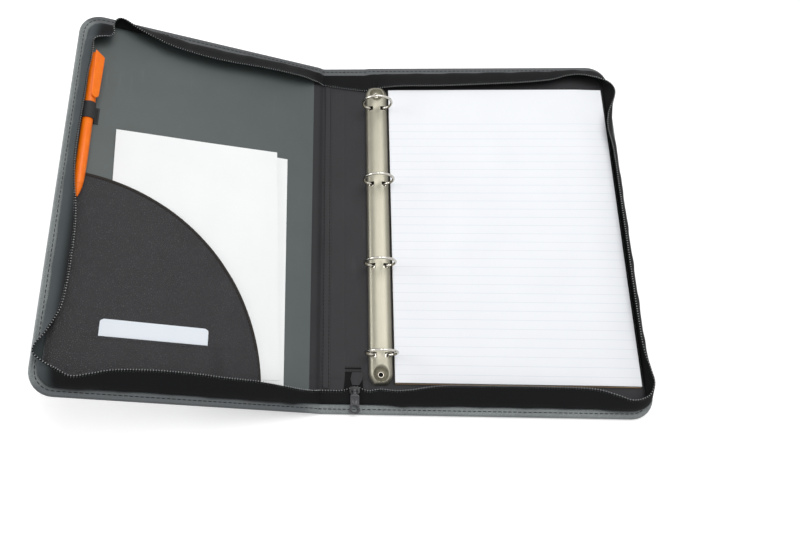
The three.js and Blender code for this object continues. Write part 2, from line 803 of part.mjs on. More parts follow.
const frontCover = new THREE.Group();
frontCover.position.set(rearFoldX - 2 * leafWidth, 0, foldHeight);
frontCover.rotation.y = rad(restTilt);
const farLow = liningTop + seat;
const nearLow = farLow + sheetThickness + seat;
add(frontCover, "front_cover", onSide(-1, coverShell()), greyCover);
add(frontCover, "front_lining", onSide(-1, coverLining()), greenLining);
add(frontCover, "front_gusset", onSide(-1, gusset(frontLeans)), blackCloth);
add(frontCover, "front_zip_coil", onSide(-1, coil(frontLeans)), coilPlastic);
add(frontCover, "pocket_panel", onSide(-1, pocketPanel()), blackGrain);
add(frontCover, "card_slot_panel", onSide(-1, slotPanel()), blackGrain);
add(frontCover, "business_card", onSide(-1, card()), paper);
add(frontCover, "loose_sheet_far", onSide(-1, looseSheet(farSheet, farLow)), paper);
add(frontCover, "loose_sheet_near", onSide(-1, looseSheet(nearSheet, nearLow)), paper);
add(frontCover, "pen_loop", onSide(-1, penLoop()), blackCloth);
add(frontCover, "pen_barrel", onSide(-1, penBarrel()), orangePlastic);
add(frontCover, "pen_clip", onSide(-1, penClip()), orangePlastic);
add(frontCover, "pen_tip", onSide(-1, penTip()), nickel);

const mechanism = new THREE.Group();
add(mechanism, "ring_plate", ringPlate(), nickel);
add(mechanism, "right_rail", rail(), nickel);
add(mechanism, "left_rail", mirrored(rail()), nickel);
ringPlaces.forEach((y, i) => {
  add(mechanism, `right_ring_${i + 1}`, halfRing().translate(0, y, 0), nickel);
  add(mechanism, `left_ring_${i + 1}`, mirrored(halfRing()).translate(0, y, 0), nickel);
});
add(mechanism, "foot_rivet", rivet().translate(0, -rivetY, 0), nickel);
add(mechanism, "head_rivet", rivet().translate(0, rivetY, 0), nickel);

const pad = new THREE.Group();
pad.position.set(padFrom, 0, padBase);
const sheetsBase = padBack + seat;
add(pad, "pad_back", block(0, padWidth, padFoot, padHead, 0, padBack), brownCard);
add(pad, "pad_sheets", block(0, padWidth, padFoot, padHead, sheetsBase, sheetsBase + padSheets), paper);

binder.add(rearCover, rearLeaf, frontLeaf, frontCover, mechanism, pad);
export default binder;
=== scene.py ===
"""Zipped ring binder lying open: its looks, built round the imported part.

Sizes are millimetres in the row frame, and become metres where a mesh is made.
"""

import logging
import math
from dataclasses import dataclass, field
from enum import Enum
from typing import Callable, Iterable, Sequence, Union

import bmesh
import bpy
import numpy as np
from mathutils import Matrix, Vector


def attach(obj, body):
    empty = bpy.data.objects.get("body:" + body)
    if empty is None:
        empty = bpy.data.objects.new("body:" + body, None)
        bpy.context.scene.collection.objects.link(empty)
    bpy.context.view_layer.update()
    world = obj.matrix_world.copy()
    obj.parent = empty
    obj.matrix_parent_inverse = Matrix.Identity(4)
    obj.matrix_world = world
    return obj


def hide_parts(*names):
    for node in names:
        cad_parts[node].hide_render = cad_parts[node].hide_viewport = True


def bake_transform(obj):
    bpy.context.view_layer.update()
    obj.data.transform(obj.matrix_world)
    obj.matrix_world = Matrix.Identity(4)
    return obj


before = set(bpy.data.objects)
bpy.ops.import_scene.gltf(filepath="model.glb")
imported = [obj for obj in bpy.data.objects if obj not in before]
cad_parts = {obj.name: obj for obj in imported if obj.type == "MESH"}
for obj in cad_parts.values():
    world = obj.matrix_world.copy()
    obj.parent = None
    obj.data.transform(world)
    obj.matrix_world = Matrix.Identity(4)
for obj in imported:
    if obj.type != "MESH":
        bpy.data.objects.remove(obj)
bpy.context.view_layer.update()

logging.basicConfig(level=logging.INFO, format="%(message)s")
log = logging.getLogger("binder")

MM = 0.001
Points = np.ndarray
Operand = Union["Sock", float, Sequence[float]]


def linear(code: str) -> tuple[float, float, float, float]:
    """Turns a colour as seen on screen into the value a shader socket takes.

    Args:
        code: Six hexadecimal digits, red first.

    Returns:
        Red, green, blue and alpha, linear.
    """
    parts = [int(code[i:i + 2], 16) / 255 for i in (0, 2, 4)]
    red, green, blue = [p / 12.92 if p <= 0.04045 else ((p + 0.055) / 1.055) ** 2.4 for p in parts]
    return red, green, blue, 1.0


def ramp(t: Union[float, Points]) -> Union[float, Points]:
    """Eases from 0 to 1 as t goes from 0 to 1, and holds outside."""
    held = np.clip(t, 0.0, 1.0)
    return held * held * (3.0 - 2.0 * held)


def mix(a: Operand, b: Operand, t: Operand) -> Operand:
    """Goes from a to b as t goes from 0 to 1."""
    return a + (b - a) * t


class Sock:
    """A value, colour or vector in a node tree, with the operators of shader maths."""

    def __init__(self, tree: bpy.types.NodeTree, socket: bpy.types.NodeSocket) -> None:
        """Wraps one output socket of a tree."""
        self.tree = tree
        self.socket = socket

    def _join(self, operation: str, first: Operand, second: Operand) -> "Sock":
        """Adds the node that works out one operation on two operands.

        Args:
            operation: The name that Math, Vector Math and Mix share, such as ADD.
            first: Left operand.
            second: Right operand.

        Returns:
            The result.
        """
        kinds = {o.socket.type for o in (first, second) if isinstance(o, Sock)}
        if "RGBA" in kinds:
            node = self.tree.nodes.new("ShaderNodeMix")
            node.data_type = "RGBA"
            node.blend_type = operation
            node.inputs["Factor"].default_value = 1.0
            ends, out = (node.inputs[6], node.inputs[7]), node.outputs[2]
        elif "VECTOR" in kinds:
            node = self.tree.nodes.new("ShaderNodeVectorMath")
            node.operation = operation
            ends, out = (node.inputs[0], node.inputs[1]), node.outputs[0]
        else:
            node = self.tree.nodes.new("ShaderNodeMath")
            node.operation = operation
            ends, out = (node.inputs[0], node.inputs[1]), node.outputs[0]
        for end, operand in zip(ends, (first, second)):
            feed(self.tree, end, operand)
        return Sock(self.tree, out)

    def __add__(self, other: Operand) -> "Sock":
        """self + other."""
        return self._join("ADD", self, other)

    def __radd__(self, other: Operand) -> "Sock":
        """other + self."""
        return self._join("ADD", other, self)

    def __sub__(self, other: Operand) -> "Sock":
        """self - other."""
        return self._join("SUBTRACT", self, other)

    def __rsub__(self, other: Operand) -> "Sock":
        """other - self."""
        return self._join("SUBTRACT", other, self)

    def __mul__(self, other: Operand) -> "Sock":
        """self * other."""
        return self._join("MULTIPLY", self, other)

    def __rmul__(self, other: Operand) -> "Sock":
        """other * self."""
        return self._join("MULTIPLY", other, self)

    def __truediv__(self, other: Operand) -> "Sock":
        """self / other."""
        return self._join("DIVIDE", self, other)

    def __rtruediv__(self, other: Operand) -> "Sock":
        """other / self."""
        return self._join("DIVIDE", other, self)

    def __pow__(self, other: Operand) -> "Sock":
        """self ** other, for values."""
        return self._join("POWER", self, other)


def feed(tree: bpy.types.NodeTree, socket: bpy.types.NodeSocket, operand: Operand) -> None:
    """Links an operand into a socket, or writes its number there.

    Args:
        tree: The tree that the socket is in.
        socket: Input socket.
        operand: A Sock, a number, or as many numbers as the socket holds.
    """
    if isinstance(operand, Sock):
        tree.links.new(operand.socket, socket)
    elif hasattr(socket.default_value, "__len__") and not hasattr(operand, "__len__"):
        socket.default_value = [operand] * len(socket.default_value)
    elif hasattr(operand, "__len__"):
        socket.default_value = list(operand)[:len(socket.default_value)]
    else:
        socket.default_value = operand


class Nodes:
    """A node tree being filled."""

    def __init__(self, tree: bpy.types.NodeTree) -> None:
        """Takes the tree."""
        self.tree = tree

    def node(self, kind: str, settings: dict = {}, sockets: dict = {}, out: Union[int, str] = 0) -> Sock:
        """Adds any node.

        Args:
            kind: The node's type, without its ShaderNode prefix.
            settings: Attributes set first. "stops" fills a colour ramp with (place, colour).
            sockets: Values or links, by the input's name or number.
            out: The output that is wanted.

        Returns:
            That output.
        """
        node = self.tree.nodes.new("ShaderNode" + kind)
        for key, value in settings.items():
            if key == "stops":
                elements = node.color_ramp.elements
                while len(elements) < len(value):
                    elements.new(0.5)
                for element, (place, colour) in zip(elements, value):
                    element.position = place
                    element.color = colour
            else:
                setattr(node, key, value)
        for key, operand in sockets.items():
            feed(self.tree, node.inputs[key], operand)
        return Sock(self.tree, node.outputs[out])

    def seen(self) -> Sock:
        """1 where the camera, polished metal or glass looks at the background."""
        kinds = ("Is Camera Ray", "Is Glossy Ray", "Is Transmission Ray")
        rays = [self.node("LightPath", out=kind) for kind in kinds]
        return rays[0] + rays[1] + rays[2]


class Recipe(Nodes):
    """A material being made: its node tree, its surface shader and where a point lies."""

    def __init__(self, name: str) -> None:
        """Starts a material with an empty surface shader."""
        self.material = bpy.data.materials.new(name)
        self.material.use_nodes = True
        super().__init__(self.material.node_tree)
        self.shader = next(n for n in self.tree.nodes if n.type == "BSDF_PRINCIPLED")

    def place(self) -> Sock:
        """Where a point lies on its piece, in millimetres."""
        return self.node("TexCoord", out="Object") * (1 / MM)

    def along(self, axis: int) -> Sock:
        """One coordinate of a point, in millimetres."""
        return self.node("SeparateXYZ", sockets={0: self.place()}, out=axis)

    def noise(self, size: float, detail: float = 3.0, stretch: Sequence[float] = (1, 1, 1)) -> Sock:
        """Soft random value from 0 to 1.

        Args:
            size: Millimetres from patch to patch.
            detail: How many finer layers are added.
            stretch: How much longer the patches are along each axis.
        """
        where = self.place() * [1 / (size * s) for s in stretch]
        return self.node("TexNoise", sockets={"Vector": where, "Scale": 1.0, "Detail": detail})

    def cells(self, size: float, wobble: float = 0.35) -> Sock:
        """Distance from the walls between rounded cells, for pebbled grain.

        Args:
            size: Millimetres across a cell.
            wobble: How far the walls wander, in cells.
        """
        where = self.place() * (1 / size)
        shift = self.node("TexNoise", sockets={"Vector": where, "Scale": 1.7, "Detail": 2.0}, out="Color")
        bent = self.node("VectorMath", {"operation": "MULTIPLY_ADD"}, {0: shift, 1: [wobble] * 3, 2: where})
        return self.node("TexVoronoi", {"feature": "DISTANCE_TO_EDGE"}, {"Vector": bent, "Scale": 1.0})

    def limited(self, value: Sock, low: float, high: float, to_low: float, to_high: float) -> Sock:
        """Maps a value from one range to another and holds it there."""
        ends = {1: low, 2: high, 3: to_low, 4: to_high}
        return self.node("MapRange", {"clamp": True, "interpolation_type": "SMOOTHSTEP"}, {0: value, **ends})

    def tone(self, low: str, high: str, factor: Sock) -> Sock:
        """A colour from one tone to another by a factor."""
        sockets = {"Factor": factor, 6: linear(low), 7: linear(high)}
        return self.node("Mix", {"data_type": "RGBA"}, sockets, out=2)

    def bump(self, height: Sock, depth: float, strength: float = 1.0) -> Sock:
        """A bumped normal from a height of 0 to 1 that is depth millimetres deep."""
        return self.node("Bump", sockets={"Height": height, "Distance": depth * MM, "Strength": strength})

    def finish(self, **inputs: Operand) -> bpy.types.Material:
        """Feeds the surface shader and hands over the material.

        Args:
            **inputs: Values or links by the input's name, with _ for a space.

        Returns:
            The material.
        """
        for name, operand in inputs.items():
            feed(self.tree, self.shader.inputs[name.replace("_", " ")], operand)
        return self.material


@dataclass(frozen=True)
class GrainedSkin:
    """Coated cover cloth with a pressed leather grain; when given, a darker band at the head and painted shade on the
    front cover's foot hem.
    """

    name: str
    slot: str
    valley: str
    crest: str
    cell: float
    depth: float
    roughness: float
    patch: float = 26.0
    rubbed: str = ""
    shade: str = ""
    shine: float = 0.5

    def make(self) -> bpy.types.Material:
        """Builds the material."""
        r = Recipe(self.name)
        pebble = r.limited(r.cells(self.cell), 0.02, 0.3, 0.0, 1.0)
        fine = r.noise(self.cell * 0.4, 4.0)
        broad = r.noise(self.patch, 3.0)
        relief = pebble * 0.7 + fine * 0.3
        colour = r.tone(self.valley, self.crest, relief * 0.75 + (broad - 0.5) * 0.7 + 0.12)
        if self.rubbed:
            head = r.limited(r.along(1), 158.0, 164.0, 0.0, 1.0)
            colour = r.node("Mix", {"data_type": "RGBA"}, {"Factor": head, 6: colour, 7: linear(self.rubbed)}, out=2)
            # painted shade: the front cover's foot hem is darkened where it lies in shade
            foot = r.limited(r.along(1), -164.0, -158.0, 1.0, 0.0) * r.limited(r.along(0), -70.0, -50.0, 1.0, 0.0)
            colour = r.node("Mix", {"data_type": "RGBA"}, {"Factor": foot * 0.8, 6: colour, 7: linear(self.shade)}, out=2)
        rough = self.roughness + (1 - pebble) * 0.12 + (broad - 0.5) * 0.1
        return r.finish(Base_Color=colour, Roughness=rough, Normal=r.bump(relief, self.depth),
                        Specular_IOR_Level=self.shine)


@dataclass(frozen=True)
class SmoothSkin:
    """Smooth coated lining with a faint mottle and hairline scuffs."""

    name: str
    slot: str
    dark: str
    pale: str
    roughness: float
    depth: float = 0.05
    shine: float = 0.5

    def make(self) -> bpy.types.Material:
        """Builds the material."""
        r = Recipe(self.name)
        broad = r.noise(38.0, 4.0)
        fine = r.noise(0.55, 3.0)
        scuff = r.limited(r.noise(5.0, 6.0, (1, 9, 1)), 0.62, 0.75, 0.0, 1.0)
        colour = r.tone(self.dark, self.pale, broad * 0.75 + fine * 0.25 + scuff * 0.15)
        rough = self.roughness + (fine - 0.5) * 0.15 - scuff * 0.08
        height = fine * 0.6 + broad * 0.4
        return r.finish(Base_Color=colour, Roughness=rough, Normal=r.bump(height, self.depth),
                        Specular_IOR_Level=self.shine)


@dataclass(frozen=True)
class WovenTape:
    """Close plain weave, whose threads follow the piece's three directions; when given, a painted sheen makes the
    front cover's fore-edge tape lighter grey where the side lamp grazes it.
    """

    name: str
    slot: str
    dark: str
    pale: str
    pitch: float
    depth: float
    roughness: float
    shine: float = 0.25
    painted_sheen: str = ""

    def make(self) -> bpy.types.Material:
        """Builds the material."""
        r = Recipe(self.name)
        turn = 2 * math.pi / self.pitch
        waves = [r.node("Math", {"operation": "SINE"}, {0: r.along(axis) * turn}) for axis in (0, 1, 2)]
        weave = (waves[0] + waves[1] + waves[2]) * (1 / 6) + 0.5
        fluff = r.noise(self.pitch * 0.6, 4.0)
        broad = r.noise(18.0, 3.0)
        height = weave * 0.6 + fluff * 0.4
        colour = r.tone(self.dark, self.pale, height * 0.7 + (broad - 0.5) * 0.6)
        if self.painted_sheen:
            # painted sheen: lighter grey towards the front cover's fore edge, standing in for the side lamp grazing
            # the black tape
            side = r.limited(r.along(0), -257.0, -247.0, 1.0, 0.0)
            colour = r.node("Mix", {"data_type": "RGBA"}, {"Factor": side, 6: colour, 7: linear(self.painted_sheen)}, out=2)
        rough = self.roughness + (broad - 0.5) * 0.2
        return r.finish(Base_Color=colour, Roughness=rough, Normal=r.bump(height, self.depth), Sheen_Weight=0.02,
                        Specular_IOR_Level=self.shine)


@dataclass(frozen=True)
class Moulded:
    """Moulded plastic with a faint ripple and handling marks."""

    name: str
    slot: str
    dark: str
    pale: str
    roughness: float
    coat: float = 0.0
    ripple: float = 3.0
    shine: float = 0.5

    def make(self) -> bpy.types.Material:
        """Builds the material."""
        r = Recipe(self.name)
        broad = r.noise(self.ripple, 3.0)
        specks = r.noise(0.5, 3.0)
        colour = r.tone(self.dark, self.pale, broad)
        rough = self.roughness + (specks - 0.5) * 0.16
        normal = r.bump(broad * 0.7 + specks * 0.3, 0.03)
        return r.finish(Base_Color=colour, Roughness=rough, Normal=normal, Coat_Weight=self.coat,
                        Specular_IOR_Level=self.shine)


@dataclass(frozen=True)
class Plated:
    """Polished plated steel with drawing lines along the row and dull patches."""

    name: str
    slot: str
    dark: str
    pale: str
    roughness: float
    stretch: tuple[float, float, float] = (1, 22, 1)
    metallic: float = 1.0

    def make(self) -> bpy.types.Material:
        """Builds the material."""
        r = Recipe(self.name)
        lines = r.noise(0.5, 3.0, self.stretch)
        patch = r.noise(14.0, 4.0)
        colour = r.tone(self.dark, self.pale, patch * 0.6 + lines * 0.4)
        rough = self.roughness + (patch - 0.5) * 0.14 + (lines - 0.5) * 0.1
        normal = r.bump(lines, 0.012, 0.6)
        return r.finish(Base_Color=colour, Roughness=rough, Metallic=self.metallic, Normal=normal)


@dataclass(frozen=True)
class Paper:
    """Writing paper, plain or with faint feint lines, which stops short of its margins."""

    name: str
    slot: str
    dark: str
    pale: str
    line: str = "000000"
    pitch: float = 0.0
    strength: float = 0.0
    margins: tuple[float, float] = (0.0, 0.0)

    def make(self) -> bpy.types.Material:
        """Builds the material."""
        r = Recipe(self.name)
        fibre = r.noise(0.8, 5.0)
        cloud = r.noise(45.0, 3.0)
        colour = r.tone(self.dark, self.pale, fibre * 0.3 + cloud * 0.7)
        if self.pitch:
            y = r.along(1)
            phase = r.node("Math", {"operation": "PINGPONG"}, {0: y, 1: self.pitch / 2})
            ruled = r.limited(phase, 0.0, 0.42, 1.0, 0.0)
            low, high = self.margins
            inside = r.limited(y, low, low + 0.4, 0.0, 1.0) * r.limited(y, high, high + 0.4, 1.0, 0.0)
            sockets = {"Factor": ruled * inside * self.strength, 6: colour, 7: linear(self.line)}
            colour = r.node("Mix", {"data_type": "RGBA"}, sockets, out=2)
        normal = r.bump(fibre, 0.02)
        return r.finish(Base_Color=colour, Roughness=0.82 + (fibre - 0.5) * 0.1, Normal=normal)


@dataclass(frozen=True)
class SheafEdge:
    """The cut edges of a sheaf of paper, one fine line to a few sheets."""

    name: str
    slot: str
    dark: str
    pale: str
    sheet: float = 0.22

    def make(self) -> bpy.types.Material:
        """Builds the material."""
        r = Recipe(self.name)
        wander = r.noise(9.0, 2.0) * 0.5
        layer = r.along(2) + wander * 0.3
        wave = r.node("Math", {"operation": "SINE"}, {0: layer * (2 * math.pi / self.sheet)})
        lines = wave * 0.5 + 0.5
        colour = r.tone(self.dark, self.pale, lines * 0.6 + r.noise(3.0, 4.0) * 0.5)
        return r.finish(Base_Color=colour, Roughness=0.9, Normal=r.bump(lines, 0.08))


@dataclass(frozen=True)
class PulpBoard:
    """Brown pulp board with darker fibres."""

    name: str
    slot: str
    dark: str
    pale: str

    def make(self) -> bpy.types.Material:
        """Builds the material."""
        r = Recipe(self.name)
        fibre = r.noise(1.1, 6.0, (1, 3, 1))
        cloud = r.noise(17.0, 4.0)
        colour = r.tone(self.dark, self.pale, fibre * 0.6 + cloud * 0.4)
        return r.finish(Base_Color=colour, Roughness=0.9 + (fibre - 0.5) * 0.1, Normal=r.bump(fibre, 0.06))


@dataclass(frozen=True)
class RibbedElastic:
    """Ribbed elastic band, ribs along one axis."""

    name: str
    slot: str
    dark: str
    pale: str
    pitch: float = 0.9

    def make(self) -> bpy.types.Material:
        """Builds the material."""
        r = Recipe(self.name)
        wave = r.node("Math", {"operation": "SINE"}, {0: r.along(1) * (2 * math.pi / self.pitch)})
        rib = wave * 0.5 + 0.5
        fluff = r.noise(0.5, 4.0)
        colour = r.tone(self.dark, self.pale, rib * 0.6 + fluff * 0.4)
        normal = r.bump(rib * 0.8 + fluff * 0.2, 0.12)
        return r.finish(Base_Color=colour, Roughness=0.78 + (fluff - 0.5) * 0.15, Normal=normal)


class Finishes(Enum):
    """Every finish on the binder."""

    # COVER paints shade on the front cover's foot hem
    COVER = GrainedSkin("cover_skin", "cover_grain", "565b5c", "8a9090", 0.9, 0.06, 0.5,
                        rubbed="4b4e50", shade="43474a")
    POCKET = GrainedSkin("pocket_skin", "pocket_grain", "141416", "303033", 1.5, 0.24, 0.42, shine=0.3)
    GREEN = SmoothSkin("front_lining_skin", "lining_green", "394140", "495251", 0.5)
    CHARCOAL = SmoothSkin("spine_lining_skin", "lining_black", "1d1d1f", "2c2b2e", 0.62, 0.06, 0.28)
    # TAPE paints a sheen on the front cover's fore-edge tape
    TAPE = WovenTape("zip_tape_weave", "zip_tape", "050506", "141517", 0.95, 0.14, 0.8, 0.15,
                     painted_sheen="3d4345")
    BRAID = WovenTape("edge_binding_weave", "zip_tape", "191614", "352f2b", 0.8, 0.12, 0.7)
    COIL = Moulded("zip_cord_plastic", "zip_coil", "040405", "0e0f10", 0.6, ripple=1.6, shine=0.1)
    # painted highlight: the black coil's teeth are made pale grey to stand in for their highlights
    TEETH = Moulded("zip_tooth_painted_highlight", "zip_coil", "7d7f80", "b2b4b5", 0.3, ripple=0.9)
    THREAD = WovenTape("sewing_thread", "zip_tape", "0b0c0d", "1c1d1e", 0.4, 0.06, 0.75, 0.15)
    ENAMEL = Plated("slider_enamel", "black_metal", "060607", "141415", 0.45, (1, 3, 1), 0.2)
    PULL = Plated("pull_enamel", "black_metal", "333236", "504f53", 0.4, (1, 3, 1), 0.3)
    STEEL = Plated("plate_nickel", "nickel", "7d7a6d", "9c998b", 0.42, (1, 22, 1), 0.8)
    NICKEL = Plated("ring_nickel", "nickel", "b5b1a8", "dcd8cf", 0.15)
    BRASS = Plated("rivet_nickel", "nickel", "9f9a90", "cdc8bd", 0.24, (1, 1, 1))
    SHEET = Paper("loose_paper", "white_paper", "eceeef", "f8f9f8")
    RULED = Paper("ruled_paper", "white_paper", "e2e4e8", "eceef1", "a9b5c8", 8.0, 0.3, (-136.5, 108.5))
    EDGES = SheafEdge("sheaf_edge", "white_paper", "b9b6ab", "f0efea")
    CARD = Paper("card_stock", "white_paper", "dde4eb", "e9eef4")
    BOARD = PulpBoard("pad_board", "brown_card", "7f6750", "b59a79")
    ORANGE = Moulded("pen_plastic", "pen_orange", "ee6500", "ff8408", 0.44, 0.05, 6.0, 0.35)
    ELASTIC = RibbedElastic("pen_loop_elastic", "elastic", "111112", "2e2e30")


class Palette:
    """The materials, each made once."""

    def __init__(self) -> None:
        """Starts with nothing made."""
        self.made: dict[str, bpy.types.Material] = {}

    def get(self, finish: Finishes) -> bpy.types.Material:
        """The material of a finish."""
        if finish.name not in self.made:
            self.made[finish.name] = finish.value.make()
        return self.made[finish.name]


palette = Palette()


class Mesh:
    """Points and faces being put together, in millimetres."""

    def __init__(self) -> None:
        """Starts empty."""
        self.points: list[Points] = []
        self.faces: list[tuple[int, ...]] = []
        self.marks: list[int] = []
        self.count = 0

    def _take(self, points: Points) -> int:
        """Adds points and returns the number of the first."""
        first = self.count
        self.points.append(np.asarray(points, float).reshape(-1, 3))
        self.count += len(self.points[-1])
        return first

    def grid(self, rows: Points, round_rows: bool = False, round_columns: bool = False, mark: int = 0) -> None:
        """Adds a skin of four-sided faces through a grid of points.

        Args:
            rows: Points of shape (rows, columns, 3).
            round_rows: Whether the last row joins the first.
            round_columns: Whether the last column joins the first.
            mark: Number of the face's material.
        """
        n, m = rows.shape[:2]
        first = self._take(rows)
        i, j = np.meshgrid(np.arange(n if round_rows else n - 1), np.arange(m if round_columns else m - 1), indexing="ij")
        down, right = (i + 1) % n, (j + 1) % m
        quads = np.stack([i * m + j, i * m + right, down * m + right, down * m + j], -1).reshape(-1, 4) + first
        self.faces.extend(map(tuple, quads.tolist()))
        self.marks.extend([mark] * len(quads))

    def patch(self, ring: Points, mark: int = 0) -> None:
        """Adds one flat face with many corners."""
        first = self._take(ring)
        self.faces.append(tuple(range(first, first + len(ring))))
        self.marks.append(mark)

    def closed_loft(self, rows: Points, mark: int = 0) -> None:
        """Adds a closed body through rows that are each a closed loop, flat at both ends."""
        self.grid(rows, round_columns=True, mark=mark)
        self.patch(rows[0][::-1], mark)
        self.patch(rows[-1], mark)

    def sheet(self, rows: Points, thickness: float, mark: int = 0) -> None:
        """Adds a closed sheet round a grid of points on its middle.

        Args:
            rows: Points of shape (rows, columns, 3).
            thickness: Millimetres through the sheet.
            mark: Number of the faces' material.
        """
        along = np.gradient(rows, axis=0)
        across = np.gradient(rows, axis=1)
        normal = np.cross(along, across)
        normal /= np.maximum(np.linalg.norm(normal, axis=2, keepdims=True), 1e-9)
        over, under = rows + normal * thickness / 2, rows - normal * thickness / 2
        loops = np.concatenate([over, under[:, ::-1]], axis=1)
        self.grid(loops, round_columns=True, mark=mark)
        for k in (0, -1):
            self.grid(np.stack([over[k], under[k]]), mark=mark)

    def tube(self, path: Points, radius: Union[float, Points], sides: int = 12, flat: float = 1.0,
             up: Sequence[float] = (0, 0, 1), closed: bool = False, mark: int = 0) -> None:
        """Adds a round or oval tube along a path.

        Args:
            path: Points of shape (points, 3).
            radius: One radius, or one for each point.
            sides: Faces round the tube.
            flat: Height of the section as a share of its width.
            up: Which way the section's height points, roughly.
            closed: Whether the path joins its own start.
            mark: Number of the faces' material.
        """
        if closed:
            ahead, behind = np.roll(path, -1, 0), np.roll(path, 1, 0)
            way = ahead - behind
        else:
            way = np.gradient(path, axis=0)
        way /= np.maximum(np.linalg.norm(way, axis=1, keepdims=True), 1e-9)
        side = np.cross(way, np.asarray(up, float))
        side /= np.maximum(np.linalg.norm(side, axis=1, keepdims=True), 1e-9)
        top = np.cross(side, way)
        size = np.broadcast_to(np.asarray(radius, float), (len(path),))[:, None, None]
        turn = np.linspace(0, 2 * math.pi, sides, endpoint=False)
        ring = np.cos(turn)[None, :, None] * side[:, None] + flat * np.sin(turn)[None, :, None] * top[:, None]
        rows = path[:, None] + ring * size
        self.grid(rows, round_rows=closed, round_columns=True, mark=mark)
        if not closed:
            self.patch(rows[0][::-1], mark)
            self.patch(rows[-1], mark)

    def beads(self, places: Points, ways: Points, ups: Points, sizes: Sequence[float],
              profile: Sequence[tuple[float, float]], sides: int = 6, mark: int = 0) -> None:
        """Adds many small round-ended bodies, such as stitches or zip teeth.

        Args:
            places: Middle of each.
            ways: Direction that each lies in.
            ups: Direction that each faces.
            sizes: Half length, half width and half height.
            profile: Shares (along, across) from one end to the other.
            sides: Faces round each.
            mark: Number of the faces' material.
        """
        half, width, height = sizes
        ways = ways / np.linalg.norm(ways, axis=1, keepdims=True)
        side = np.cross(ways, ups)
        side /= np.maximum(np.linalg.norm(side, axis=1, keepdims=True), 1e-9)
        top = np.cross(side, ways)
        turn = np.linspace(0, 2 * math.pi, sides, endpoint=False)
        along = np.array([p[0] for p in profile])[None, :, None, None]
        across = np.array([p[1] for p in profile])[None, :, None, None]
        circle = (np.cos(turn)[None, None, :, None] * side[:, None, None] * width
                  + np.sin(turn)[None, None, :, None] * top[:, None, None] * height)
        every = places[:, None, None] + along * half * ways[:, None, None] + across * circle
        rows = len(profile)
        first = self._take(every)
        i, j = np.meshgrid(np.arange(rows - 1), np.arange(sides), indexing="ij")
        right = (j + 1) % sides
        quads = np.stack([i * sides + j, i * sides + right, (i + 1) * sides + right, (i + 1) * sides + j], -1)
        quads = quads.reshape(-1, 4)
        ends = [tuple(range(sides))[::-1], tuple(range((rows - 1) * sides, rows * sides))]
        for k in range(len(places)):
            start = first + k * rows * sides
            self.faces.extend(map(tuple, (quads + start).tolist()))
            self.faces.extend(tuple(start + e for e in end) for end in ends)
        self.marks.extend([mark] * (len(places) * (len(quads) + 2)))

    def turned(self, profile: Sequence[tuple[float, float]], centre: Sequence[float],
               axis: Matrix = Matrix.Identity(3), sides: int = 40, mark: int = 0) -> None:
        """Adds a body turned round an axis, closed where its profile joins itself or meets the axis.

        Args:
            profile: Points (radius, height).
            centre: Where height 0 on the axis lies.
            axis: Turn that takes +Z to the axis.
            sides: Faces round the body.
            mark: Number of the faces' material.
        """
        turn = np.linspace(0, 2 * math.pi, sides, endpoint=False)
        rows = np.array([[[r * math.cos(a), r * math.sin(a), h] for a in turn] for r, h in profile])
        rows = rows @ np.array(axis).T + np.asarray(centre, float)
        ring = profile[0] == profile[-1]
        self.grid(rows[:-1] if ring else rows, round_rows=ring, round_columns=True, mark=mark)
        if not ring:
            self.patch(rows[0][::-1], mark)
            self.patch(rows[-1], mark)

    def object(self, name: str, *finishes: Finishes, crease: float = 38.0) -> bpy.types.Object:
        """Makes the object, with its faces turned outwards and its finishes on.

        Args:
            name: Name of the piece.
            *finishes: Finish of each mark, in order.
            crease: Angle above which an edge stays sharp, in degrees.

        Returns:
            The object.
        """
        data = bpy.data.meshes.new(name)
        data.from_pydata((np.concatenate(self.points) * MM).tolist(), [], self.faces)
        for finish in finishes:
            data.materials.append(palette.get(finish))
        data.polygons.foreach_set("material_index", self.marks)
        work = bmesh.new()
        work.from_mesh(data)
        bmesh.ops.remove_doubles(work, verts=work.verts, dist=1e-7)
        bmesh.ops.recalc_face_normals(work, faces=work.faces)
        work.to_mesh(data)
        work.free()
        data.polygons.foreach_set("use_smooth", [True] * len(data.polygons))
        data.set_sharp_from_angle(angle=math.radians(crease))
        made = bpy.data.objects.new(name, data)
        bpy.context.scene.collection.objects.link(made)
        return made


def report(piece: bpy.types.Object, where: str) -> None:
    """Says which piece was built and what it rides on."""
    log.info("built %s on %s, %d faces", piece.name, where, len(piece.data.polygons))


def carry(piece: bpy.types.Object, body: str, slot: str, *nodes: str) -> bpy.types.Object:
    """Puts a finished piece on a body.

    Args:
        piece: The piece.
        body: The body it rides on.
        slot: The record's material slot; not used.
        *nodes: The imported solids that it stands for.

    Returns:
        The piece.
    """
    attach(piece, body)
    if nodes:
        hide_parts(*nodes)
    report(piece, body)
    return piece


